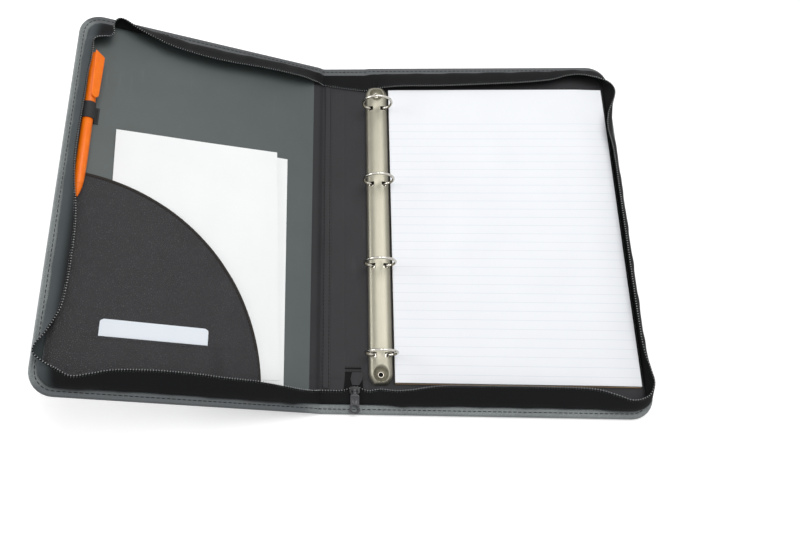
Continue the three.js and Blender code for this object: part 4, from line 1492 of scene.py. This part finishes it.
@dataclass
class Slider:
    """The zip's slider, held on the spine at the foot, and its pull."""

    x: float = -22.5
    y: float = -150.1
    length: float = 9.0
    width: float = 7.4
    low: float = 2.55
    floor: float = 3.0
    ceiling: float = 5.4
    top: float = 6.3
    pivot: float = 7.95
    droop: float = 10.0
    pull_width: float = 9.5
    pull_length: float = 20.0
    pull_thickness: float = 1.6
    hole: float = 2.8

    def plan(self, grow: float = 0.0) -> Points:
        """The slider's shield outline, narrower towards the teeth's closed side."""
        turn = np.linspace(0, 2 * math.pi, 40, endpoint=False)
        across = np.sign(np.cos(turn)) * np.abs(np.cos(turn)) ** 0.62 * (self.length / 2 + grow)
        along = np.sign(np.sin(turn)) * np.abs(np.sin(turn)) ** 0.62 * (self.width / 2 + grow)
        pinch = 1 - 0.16 * ramp((across / self.length + 0.5 - 0.45) / 0.55)
        return np.column_stack([self.x + across, self.y + along * pinch])

    def body(self) -> bpy.types.Object:
        """Builds the two plates, the wall between them and the pull's bracket."""
        mesh = Mesh()
        mesh.closed_loft(round_slab(self.plan(), self.ceiling, self.top, 0.4))
        mesh.closed_loft(round_slab(self.plan(), self.low, self.floor, 0.2))
        wall = np.array([(self.x - 3.8, self.y + 2.5), (self.x + 3.6, self.y + 2.5),
                         (self.x + 3.6, self.y + 3.4), (self.x - 3.8, self.y + 3.4)])
        mesh.closed_loft(round_slab(wall, self.floor - 0.2, self.ceiling + 0.2, 0.1))
        turn = np.linspace(0, math.pi, 12)
        for side in (-1, 1):
            arch = [(self.y + 1.35 * math.cos(a), self.pivot - 0.1 + 1.3 * math.sin(a)) for a in turn]
            ear = np.array([(self.y + 1.35, self.top - 0.2)] + arch + [(self.y - 1.35, self.top - 0.2)])
            offsets = (1.6, 1.72, 2.58, 2.7)
            shrink = (0.9, 1.0, 1.0, 0.9)
            middle = ear.mean(0)
            rows = [np.column_stack([np.full(len(ear), self.x + side * o), middle + (ear - middle) * k])
                    for o, k in zip(offsets, shrink)]
            mesh.closed_loft(np.array(rows))
        pin = np.array([(self.x + t, self.y, self.pivot) for t in np.linspace(-2.9, 2.9, 8)])
        mesh.tube(pin, np.array([0.35, 0.62, 0.62, 0.62, 0.62, 0.62, 0.62, 0.35]), sides=16)
        made = mesh.object("zip_slider_body", Finishes.ENAMEL, crease=45.0)
        return carry(made, "spine_rear", "black_metal", "zip_slider")

    def pull(self) -> bpy.types.Object:
        """Builds the pull: raised border, sunk panel, round hole and the barrel on the pin."""
        count = 72
        turn = np.linspace(0, 2 * math.pi, count, endpoint=False)
        half, end = self.pull_width / 2, self.pull_length
        centre = np.array([0.0, half - end])
        far = []
        for a in turn:
            way = np.array([math.cos(a), math.sin(a)])
            if way[1] <= 0:
                far.append(half)
                continue
            top = end - half - 2.4
            wide = half - 0.55
            reach = min(wide / max(abs(way[0]), 1e-6), top / way[1])
            p = way * reach
            soft = min(1.0, (abs(p[0]) / wide) ** 4 + (p[1] / top) ** 4)
            far.append(reach * (1 - 0.09 * max(soft - 1 + 0.9, 0)) if way[1] > 0 else half)
        far = np.array(far)
        blend = ramp(np.sin(turn) / 0.35)
        far = half * (1 - blend) + far * blend
        t = self.pull_thickness / 2
        steps = ((0.0, t), (0.05, t + 0.25), (0.14, t + 0.25), (0.2, t - 0.3), (0.82, t - 0.3), (0.87, t + 0.15),
                 (0.95, t + 0.15), (1.0, t - 0.25), (1.0, -t + 0.25), (0.95, -t), (0.1, -t), (0.0, -t + 0.2))
        rows = []
        for share, height in steps:
            reach = self.hole + (far - self.hole) * share
            rows.append(np.column_stack([reach * np.cos(turn), centre[1] + reach * np.sin(turn),
                                         np.full(count, height)]))
        mesh = Mesh()
        mesh.grid(np.array(rows), round_rows=True, round_columns=True)
        neck = np.array([(-1.25, -1.0), (1.25, -1.0), (1.25, -3.6), (-1.25, -3.6)])
        mesh.closed_loft(round_slab(neck, -0.7, 0.7, 0.25))
        ring = ((0.82, -1.25), (1.3, -1.25), (1.38, -1.0), (1.38, 1.0), (1.3, 1.25), (0.82, 1.25), (0.82, -1.25))
        mesh.turned(ring, (0, 0, 0), Matrix.Rotation(math.radians(90), 3, "Y"), sides=28)
        place = np.array(Matrix.Rotation(math.radians(self.droop), 3, "X"))
        mesh.points = [p @ place.T + np.array([self.x, self.y, self.pivot]) for p in mesh.points]
        made = mesh.object("zip_pull_tab", Finishes.PULL, crease=45.0)
        return carry(made, "pull", "black_metal", "zip_pull")

    def build(self) -> None:
        """Builds slider and pull."""
        self.body()
        self.pull()


@dataclass
class RingMechanism:
    """Sprung plate with its dimples, four split rings and two eyelet rivets."""

    half_width: float = 10.4
    half_length: float = 145.0
    base: float = 3.8
    rise: float = 7.0
    curve: float = 0.72
    sheet: float = 0.75
    pitch: float = 80.0
    count: int = 4
    rivet_y: float = 136.5
    ring_radius: float = 13.65
    wire: float = 1.15
    ring_centre: float = 20.4
    slot: tuple[float, float, float] = (3.6, 8.6, 2.1)

    def ring_places(self) -> list[float]:
        """Where the rings stand, from the head."""
        return [((self.count - 1) / 2 - i) * self.pitch for i in range(self.count)]

    def height(self, x: Points, y: Points, level: Points) -> Points:
        """Height of the plate's top, with its dimples pressed in.

        Args:
            x: Across the plate.
            y: Along it.
            level: Height before the dimples.

        Returns:
            Heights.
        """
        far = np.hypot(x, np.abs(y) - self.rivet_y)
        dish = self.base + 0.95 + 6.4 * ramp((far - 2.9) / 5.4)
        level = np.where(far < 9.0, np.minimum(level, dish), level)
        for place in self.ring_places():
            near = np.hypot(x / 4.6, (y - place) / 5.4)
            level = level - 0.55 * np.exp(-near ** 2 * 1.6)
        return level

    def plate(self) -> bpy.types.Object:
        """Builds the plate."""
        y = np.unique(np.concatenate([
            np.linspace(-self.half_length, self.half_length, 300),
            *[p + np.linspace(-2.4, 2.4, 17) for p in self.ring_places()],
            *[e * (self.half_length - np.geomspace(0.03, 6.0, 14)) for e in (-1, 1)],
        ]))
        angle = np.linspace(0, math.pi, 74)
        past = np.clip((np.abs(y) - (self.half_length - 9.0)) / 9.0, 0, 1)
        width = self.half_width * (1 - 0.42 * past ** 1.6)
        end = np.clip((np.abs(y) - (self.half_length - 8.0)) / 8.0, 0, 1)
        rise = self.rise * np.maximum(1 - end ** 2.6, 1e-4) ** (1 / 2.2)
        c, s = np.cos(angle), np.sin(angle)
        x = width[:, None] * (np.sign(c) * np.abs(c) ** self.curve)[None]
        level = self.base + rise[:, None] * (np.abs(s) ** self.curve)[None]
        yy = np.broadcast_to(y[:, None], x.shape)
        rows = np.stack([x, yy, self.height(x, yy, level)], axis=-1)
        mesh = Mesh()
        mesh.grid(rows)
        points = rows.reshape(-1, 3)
        near, outer, half = self.slot
        kept = []
        for face in mesh.faces:
            middle = points[list(face)].mean(0)
            by = min(abs(middle[1] - p) for p in self.ring_places())
            if not (by < half and near < abs(middle[0]) < outer and middle[2] > self.base + 2.2):
                kept.append(face)
        mesh.faces = kept
        mesh.marks = [0] * len(kept)
        made = mesh.object("ring_plate_steel", Finishes.STEEL, crease=60.0)
        steel = made.modifiers.new("steel sheet", "SOLIDIFY")
        steel.thickness = self.sheet * MM
        steel.offset = -1.0
        return carry(made, "rear_cover", "nickel", "ring_plate")

    def ring(self, side: int, number: int, y: float) -> bpy.types.Object:
        """Builds one half of a ring.

        Args:
            side: 1 for the half towards the pad, -1 for the other.
            number: Its place in the row, from the head.
            y: Where it stands.
        """
        points = [(6.0, y, 6.3), (6.0, y, 8.6), (7.9, y, 10.6)]
        for a in np.radians(np.linspace(-35, 90, 14)):
            points.append((max(self.ring_radius * math.cos(a), 0.12), y, self.ring_centre + self.ring_radius * math.sin(a)))
        path = catmull(points, 0.8)
        path[:, 0] *= side
        radius = np.full(len(path), self.wire)
        radius[-1] = self.wire * 0.86
        mesh = Mesh()
        mesh.tube(path, radius, sides=22, up=(0, 1, 0))
        word = "right" if side > 0 else "left"
        made = mesh.object(f"{word}_ring_wire_{number}", Finishes.NICKEL, crease=50.0)
        return carry(made, word + "_rings", "nickel", f"{word}_ring_{number}")

    def rivet(self, end: int, title: str) -> bpy.types.Object:
        """Builds one eyelet rivet."""
        profile = ((1.75, 1.6), (1.75, 5.5), (1.9, 5.85), (2.2, 6.0), (2.6, 5.85), (2.9, 5.45), (2.9, 5.1), (2.2, 5.0),
                   (2.1, 1.6), (1.75, 1.6))
        mesh = Mesh()
        mesh.turned(profile, (0, end * self.rivet_y, 0), sides=36)
        # painted shade: a black disc inside the eyelet's hole stands in for the shade in the hole
        mesh.turned(((0.01, 4.9), (1.77, 4.9), (1.77, 5.1), (0.01, 5.1)), (0, end * self.rivet_y, 0), sides=20, mark=1)
        made = mesh.object(title + "_rivet_eyelet", Finishes.BRASS, Finishes.TAPE, crease=50.0)
        return carry(made, "rear_cover", "nickel", title + "_rivet")

    def build(self) -> None:
        """Builds the mechanism and plates the two packed rails."""
        self.plate()
        for number, y in enumerate(self.ring_places(), start=1):
            for side in (1, -1):
                self.ring(side, number, y)
        self.rivet(-1, "foot")
        self.rivet(1, "head")
        for rail in ("left_rail", "right_rail"):
            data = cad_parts[rail].data
            data.materials.clear()
            data.materials.append(palette.get(Finishes.BRASS))


@dataclass
class WritingPad:
    """Ruled pad on its brown board."""

    left: float = 11.8
    right: float = 218.5
    foot: float = -144.1
    head: float = 141.9
    board_low: float = 3.8
    board_top: float = 4.6
    top: float = 7.3
    droop: float = 1.1

    def outline(self, inset: float, foot_inset: float, radius: float = 0.8) -> Points:
        """The sheaf's or board's plan, with slightly rounded corners."""
        x0, x1, y0, y1 = self.left + inset, self.right - inset, self.foot + foot_inset, self.head - inset
        points = []
        for cx, cy, start in ((x1 - radius, y1 - radius, 0), (x0 + radius, y1 - radius, 90),
                              (x0 + radius, y0 + radius, 180), (x1 - radius, y0 + radius, 270)):
            for a in np.radians(np.linspace(start, start + 90, 6)):
                points.append((cx + radius * math.cos(a), cy + radius * math.sin(a)))
        return np.array(points)

    def board(self) -> bpy.types.Object:
        """Builds the back board."""
        mesh = Mesh()
        mesh.closed_loft(round_slab(self.outline(0.1, 0.0), self.board_low, self.board_top, 0.15))
        made = mesh.object("pad_back_board", Finishes.BOARD, crease=50.0)
        return carry(made, "pad", "brown_card", "pad_back")

    def level(self, x: Points, y: Points) -> Points:
        """Height of the sheaf's top, lower towards the fore edge and at the corners."""
        fore = ramp((x - (self.right - 34)) / 34) ** 1.4
        corner = fore * ramp((np.abs(y - (self.head + self.foot) / 2) - 110) / 38)
        near = ramp((self.left + 9 - x) / 9)
        wave = 0.1 * np.sin(x / 23.0 + 0.6) * np.sin(y / 41.0)
        return self.top + wave - self.droop * fore - 0.35 * corner - 0.25 * near

    def sheaf(self) -> bpy.types.Object:
        """Builds the sheaf under the top sheet, with its edges slightly out of line."""
        x = np.linspace(self.left + 0.2, self.right - 0.4, 90)
        y = np.linspace(self.foot + 1.0, self.head - 0.2, 110)
        xx, yy = np.meshgrid(x, y, indexing="ij")
        top = np.stack([xx, yy, self.level(xx, yy) - 0.12], axis=-1)
        low = np.stack([xx, yy, np.full(xx.shape, self.board_top + 0.05)], axis=-1)
        mesh = Mesh()
        mesh.grid(top)
        mesh.grid(low, mark=1)
        edges = ((top[0], low[0], (-1, 0)), (top[-1], low[-1], (1, 0)), (top[:, 0], low[:, 0], (0, -1)),
                 (top[:, -1], low[:, -1], (0, 1)))
        for upper, lower, out in edges:
            rows = []
            for k, t in enumerate(np.linspace(0, 1, 9)):
                row = upper * (1 - t) + lower * t
                if 0 < k < 8:
                    row[:, :2] += np.array(out) * (0.12 * math.sin(k * 2.4) + 0.05)
                rows.append(row)
            mesh.grid(np.array(rows), mark=1)
        made = mesh.object("pad_sheaf", Finishes.SHEET, Finishes.EDGES, crease=40.0)
        return carry(made, "pad", "white_paper", "pad_sheets")

    def top_sheet(self) -> bpy.types.Object:
        """Builds the ruled top sheet, a little loose at its fore edge."""
        x = np.linspace(self.left + 0.25, self.right - 0.2, 120)
        y = np.linspace(self.foot + 1.1, self.head - 0.3, 140)
        xx, yy = np.meshgrid(x, y, indexing="ij")
        loose = ramp((xx - (self.right - 50)) / 50) * (0.22 + 0.2 * np.sin(yy / 33.0))
        rows = np.stack([xx, yy, self.level(xx, yy) + 0.02 + loose], axis=-1)
        mesh = Mesh()
        mesh.sheet(rows, 0.1)
        made = mesh.object("pad_top_sheet", Finishes.RULED, crease=50.0)
        (self.head - self.foot) * MM
        return carry(made, "pad", "white_paper")

    def build(self) -> None:
        """Builds board, sheaf and top sheet."""
        self.board()
        self.sheaf()
        self.top_sheet()


@dataclass
class Pocket:
    """Quarter-round pocket in the front cover's corner, with its card slot and the card."""

    board: Board
    corner_u: float = 229.6
    corner_y: float = -160.1
    turn_u: float = 219.0
    turn_y: float = -149.5
    turn: float = 10.6
    radius: float = 174.0
    thickness: float = 0.6
    sewn: float = 3.25
    rise: float = 0.98
    mouth: float = -121.5
    card: tuple[float, float, float, float] = (103.5, 191.5, -155.5, -107.5)

    def held(self, u: Points, y: Points) -> tuple[Points, Points]:
        """Keeps points inside the rounded corner of the cover."""
        du, dy = u - self.turn_u, y - self.turn_y
        far = np.maximum(np.hypot(du, dy), 1e-9)
        out = (du > 0) & (dy < 0) & (far > self.turn)
        return (np.where(out, self.turn_u + du / far * self.turn, u),
                np.where(out, self.turn_y + dy / far * self.turn, y))

    def level(self, u: Points, y: Points) -> Points:
        """Height of the panel's middle: sewn down on two sides, full in between, level where the card slides."""
        edge = np.minimum(self.corner_u - u, y - self.corner_y)
        far = np.hypot(self.corner_u - u, y - self.corner_y) / self.radius
        turn = np.arctan2(y - self.corner_y, self.corner_u - u)
        full = 0.85 * ramp((far - 0.45) / 0.5) * np.sin(2 * turn) ** 2
        tuck = 0.16 * np.sin(u / 13.0) * np.sin(y / 17.0)
        lane = ramp((u - self.card[0] + 20) / 16) * ramp((self.card[1] + 20 - u) / 16) * ramp((-48 - y) / 10)
        return self.sewn + self.rise * ramp(edge / 5.5) + (full + tuck * ramp(edge / 30)) * (1 - lane)

    def panel(self) -> bpy.types.Object:
        """Builds the quarter-round panel."""
        far = np.linspace(0.0, self.radius - 0.8, 110)[:, None]
        turn = np.linspace(0, math.pi / 2, 110)[None]
        u, y = self.held(self.corner_u - far * np.sin(turn), self.corner_y + far * np.cos(turn))
        mesh = Mesh()
        mesh.sheet(self.board.at(u, y, self.level(u, y)), self.thickness)
        made = mesh.object("pocket_skin", Finishes.POCKET, crease=50.0)
        area = math.pi / 4 * self.radius ** 2 * MM ** 2
        self.radius * MM
        self.radius * MM
        return carry(made, "front_cover", "pocket_grain", "pocket_panel")

    def binding(self) -> bpy.types.Object:
        """Builds the bound edge round the arc."""
        turn = np.linspace(0.012, math.pi / 2 - 0.012, 150)
        far = self.radius - 1.3
        u, y = self.corner_u - far * np.sin(turn), self.corner_y + far * np.cos(turn)
        mesh = Mesh()
        path = self.board.at(u, y, self.level(u, y) + 0.02)
        mesh.tube(path, 1.5, sides=14, flat=0.42, up=self.board.up())
        u, y = self.corner_u - (far - 0.9) * np.sin(turn), self.corner_y + (far - 0.9) * np.cos(turn)
        sew(mesh, self.board.at(u, y, self.level(u, y) + 0.6), self.board.up(), 3.0, 0.9, 0.2, mark=1)
        made = mesh.object("pocket_edge_binding", Finishes.BRAID, Finishes.THREAD)
        return carry(made, "front_cover", "zip_tape")

    def slot(self) -> bpy.types.Object:
        """Builds the card slot's panel below its mouth, lifted where the card lies."""
        y = np.concatenate([np.linspace(self.corner_y, self.mouth - 2.6, 34), np.linspace(self.mouth - 2.2, self.mouth, 8)])
        rows = []
        for place in y:
            left = self.corner_u - math.sqrt((self.radius - 1.4) ** 2 - (place - self.corner_y) ** 2)
            right = self.corner_u
            if place < self.turn_y:
                right = self.turn_u + math.sqrt(max(self.turn ** 2 - (place - self.turn_y) ** 2, 0))
            rows.append(np.column_stack([np.linspace(left, right, 120), np.full(120, place)]))
        grid = np.array(rows)
        u, yy = grid[..., 0], grid[..., 1]
        edge = np.minimum.reduce([self.corner_u - u, yy - self.corner_y, u - u[:, :1]])
        mouth = ramp((yy - (self.mouth - 2.6)) / 0.8)
        near = ramp((u - self.card[0] + 16) / 14) * ramp((self.card[1] + 16 - u) / 14)
        lift = 0.32 + near * (0.34 + 0.56 * ramp(edge / 7) + 0.16 * mouth)
        mesh = Mesh()
        mesh.sheet(self.board.at(u, yy, self.level(u, yy) + lift), self.thickness)
        made = mesh.object("card_slot_skin", Finishes.POCKET, crease=50.0)
        return carry(made, "front_cover", "pocket_grain", "card_slot_panel")

    def name_card(self) -> bpy.types.Object:
        """Builds the blank card that stands in the slot."""
        left, right, foot, head = self.card
        u = np.linspace(left, right, 60)[:, None]
        y = np.linspace(foot, head, 44)[None]
        r = 3.0
        over = np.clip(y - (head - r), 0, r)
        trim = r - np.sqrt(np.maximum(r * r - over * over, 0))
        middle = (left + right) / 2
        u = middle + (u - middle) * (1 - trim / ((right - left) / 2))
        y = np.broadcast_to(y, u.shape)
        mesh = Mesh()
        bow = 0.05 * np.sin(math.pi * (u - left) / (right - left))
        mesh.sheet(self.board.at(u, y, self.sewn + self.rise + 0.5 + bow), 0.26)
        made = mesh.object("blank_card", Finishes.CARD, crease=50.0)
        return carry(made, "card", "white_paper", "business_card")

    def build(self) -> None:
        """Builds the pocket and what it holds."""
        self.panel()
        self.binding()
        self.slot()
        self.name_card()


@dataclass
class LooseSheets:
    """Two loose sheets whose lower part is in the pocket."""

    pocket: Pocket
    width: float = 148.0
    length: float = 210.0

    def sheet(self, name: str, node: str, body: str, from_fold: float, from_foot: float, turn: float, low: float,
              curl: float) -> bpy.types.Object:
        """Builds one sheet, flat in the pocket and in slow waves above it.

        Args:
            name: Name of the piece.
            node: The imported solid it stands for.
            body: Body it rides on.
            from_fold: Its near corner from the cover's fold.
            from_foot: Its foot from the cover's foot edge.
            turn: How far it is turned, in degrees.
            low: Height over the cover in the pocket.
            curl: How far it rises above the pocket.

        Returns:
            The sheet.
        """
        a, b = np.meshgrid(np.linspace(0, self.width, 90), np.linspace(-self.length, 0, 120), indexing="ij")
        t = math.radians(-turn)
        head = from_foot - binder.length / 2 + self.length
        u = from_fold + a * math.cos(t) - b * math.sin(t)
        y = head + a * math.sin(t) + b * math.cos(t)
        out = np.hypot(self.pocket.corner_u - u, y - self.pocket.corner_y) - self.pocket.radius
        free = ramp(out / 55)
        wave = 0.62 + 0.38 * np.sin(u / 31.0 + y / 52.0)
        height = low + curl * free * wave
        mesh = Mesh()
        mesh.sheet(self.pocket.board.at(u, y, height), 0.16)
        made = mesh.object(name, Finishes.SHEET, crease=60.0)
        self.width * MM
        return carry(made, body, "white_paper", node)

    def build(self) -> None:
        """Builds both sheets."""
        self.sheet("far_loose_sheet", "loose_sheet_far", "far_sheet", 38.0, 20.1, 0.7, 3.0, 0.12)
        self.sheet("near_loose_sheet", "loose_sheet_near", "near_sheet", 49.0, 24.6, 2.6, 3.45, 1.1)


@dataclass
class Pen:
    """Orange pen in its elastic loop."""

    board: Board
    u: float = 222.0
    head: float = 125.2
    height: float = 9.4
    radius: float = 4.6
    loop_foot: float = 60.2
    loop_length: float = 15.2
    clip_turn: float = 28.0

    def turned(self, name: str, node: str, slot: str, finish: Finishes, profile: Iterable[tuple[float, float]]) -> bpy.types.Object:
        """Builds a round piece of the pen.

        Args:
            name: Name of the piece.
            node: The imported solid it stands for.
            slot: The record's material slot.
            finish: Its finish.
            profile: Points (radius, distance from the pen's head).

        Returns:
            The piece.
        """
        turn = np.linspace(0, 2 * math.pi, 40, endpoint=False)
        rows = [self.board.at(self.u + r * np.cos(turn), np.full(40, self.head - d), self.height + r * np.sin(turn))
                for r, d in profile]
        mesh = Mesh()
        mesh.closed_loft(np.array(rows))
        made = mesh.object(name, finish, crease=40.0)
        return carry(made, "pen", slot, node)

    def clip(self) -> bpy.types.Object:
        """Builds the clip: a slanted, slightly bowed blade turned towards the fold, with its root."""
        t = np.linspace(0, 1, 60)[:, None]
        d = 1.0 + 45.0 * t
        half = mix(4.75, 3.7, ramp(t)) * np.sqrt(np.maximum(1 - np.clip((d - 42.0) / 4.0, 0, 1) ** 2, 0.002))
        turn = np.linspace(0, 2 * math.pi, 20, endpoint=False)
        across = np.sign(np.cos(turn)) * np.abs(np.cos(turn)) ** 0.5 * half
        rise = 6.5 + np.sign(np.sin(turn)) * np.abs(np.sin(turn)) ** 0.7 * 0.5 + 0.35 * np.sin(math.pi * t)
        slant = 4.0 * (1 - t) ** 3 * (0.5 - across / 9.5)
        mesh = Mesh()
        mesh.closed_loft(self.tilted(across, self.head - d - slant, rise))
        wide, long = np.cos(turn) * 1.9, np.sin(turn) * 2.0
        root = [self.tilted(wide, self.head - 6.0 + long, np.full(20, r)) for r in (4.2, 4.9, 5.7, 6.3)]
        mesh.closed_loft(np.array(root))
        made = mesh.object("pen_clip_bar", Finishes.ORANGE, crease=50.0)
        return carry(made, "pen", "pen_orange", "pen_clip")

    def tilted(self, across: Points, y: Points, out: Points) -> Points:
        """Places points of the clip, square to a line that leans from the pen's axis towards the fold."""
        turn = math.radians(self.clip_turn)
        u = self.u + across * math.cos(turn) - out * math.sin(turn)
        return self.board.at(u, y, self.height + across * math.sin(turn) + out * math.cos(turn))

    def loop(self) -> bpy.types.Object:
        """Builds the elastic loop, sewn down beside the pen."""
        r = self.radius + 0.62
        turn = np.linspace(math.pi, 0, 26)
        path = [(self.u - r - 4.2, 3.2), (self.u - r - 2.2, 3.25), (self.u - r - 0.5, 3.6), (self.u - r, 5.2), (self.u - r, 7.6)]
        path += [(self.u + r * math.cos(a), self.height + r * math.sin(a)) for a in turn]
        path += [(self.u + r, 7.6), (self.u + r, 5.2), (self.u + r - 0.1, 3.3)]
        line = np.array(path)
        y = np.linspace(self.loop_foot, self.loop_foot + self.loop_length, 26)
        rows = self.board.at(line[:, None, 0], y[None], line[:, None, 1] + 0.0 * y[None])
        mesh = Mesh()
        mesh.sheet(rows, 0.7)
        row = np.linspace(self.loop_foot + 1.2, self.loop_foot + self.loop_length - 1.2, 12)
        sew(mesh, self.board.at(np.full(12, self.u - r - 2.4), row, np.full(12, 3.75)), self.board.up(), 2.4, 0.6, 0.24, mark=1)
        made = mesh.object("pen_loop_band", Finishes.ELASTIC, Finishes.THREAD, crease=50.0)
        self.loop_length * MM
        return carry(made, "front_cover", "elastic", "pen_loop")

    def build(self) -> None:
        """Builds barrel, tip, clip and loop."""
        barrel = ((1.2, 0.0), (2.6, 0.15), (3.7, 0.8), (4.3, 1.9), (4.55, 3.6), (4.6, 6.0), (4.6, 51.6), (4.4, 51.9),
                  (4.4, 52.6), (4.6, 52.9), (4.6, 96.0), (4.55, 108.0), (4.3, 116.0), (3.95, 121.7), (3.7, 124.7))
        tip = ((3.6, 124.9), (3.3, 127.1), (2.5, 130.3), (1.7, 132.9), (1.15, 133.9), (1.0, 135.1), (0.55, 135.7))
        self.turned("pen_barrel_shell", "pen_barrel", "pen_orange", Finishes.ORANGE, barrel)
        self.turned("pen_tip_cone", "pen_tip", "pen_orange", Finishes.ORANGE, tip)
        self.clip()
        self.loop()


def main() -> None:
    """Builds the studio and the binder, piece by piece."""
    Studio().build()
    rear = CoverSkin(binder.rear, "rear")
    front = CoverSkin(binder.front, "front")
    for cover in (rear, front):
        cover.skin()
        cover.stitches()
    rear.lining(Finishes.CHARCOAL, "lining_black")
    front.lining(Finishes.GREEN, "lining_green")
    SpineSkin().build()
    rear_tape = ZipTape(binder.rear, "rear", REAR_CREST, {})
    front_tape = ZipTape(binder.front, "front", FRONT_CREST, {})
    rear_tape.build()
    front_tape.build()
    SpineTape(front_tape, rear_tape).build()
    Slider().build()
    RingMechanism().build()
    WritingPad().build()
    pocket = Pocket(binder.front)
    pocket.build()
    LooseSheets(pocket).build()
    Pen(binder.front).build()


if __name__ == "__main__":
    main()
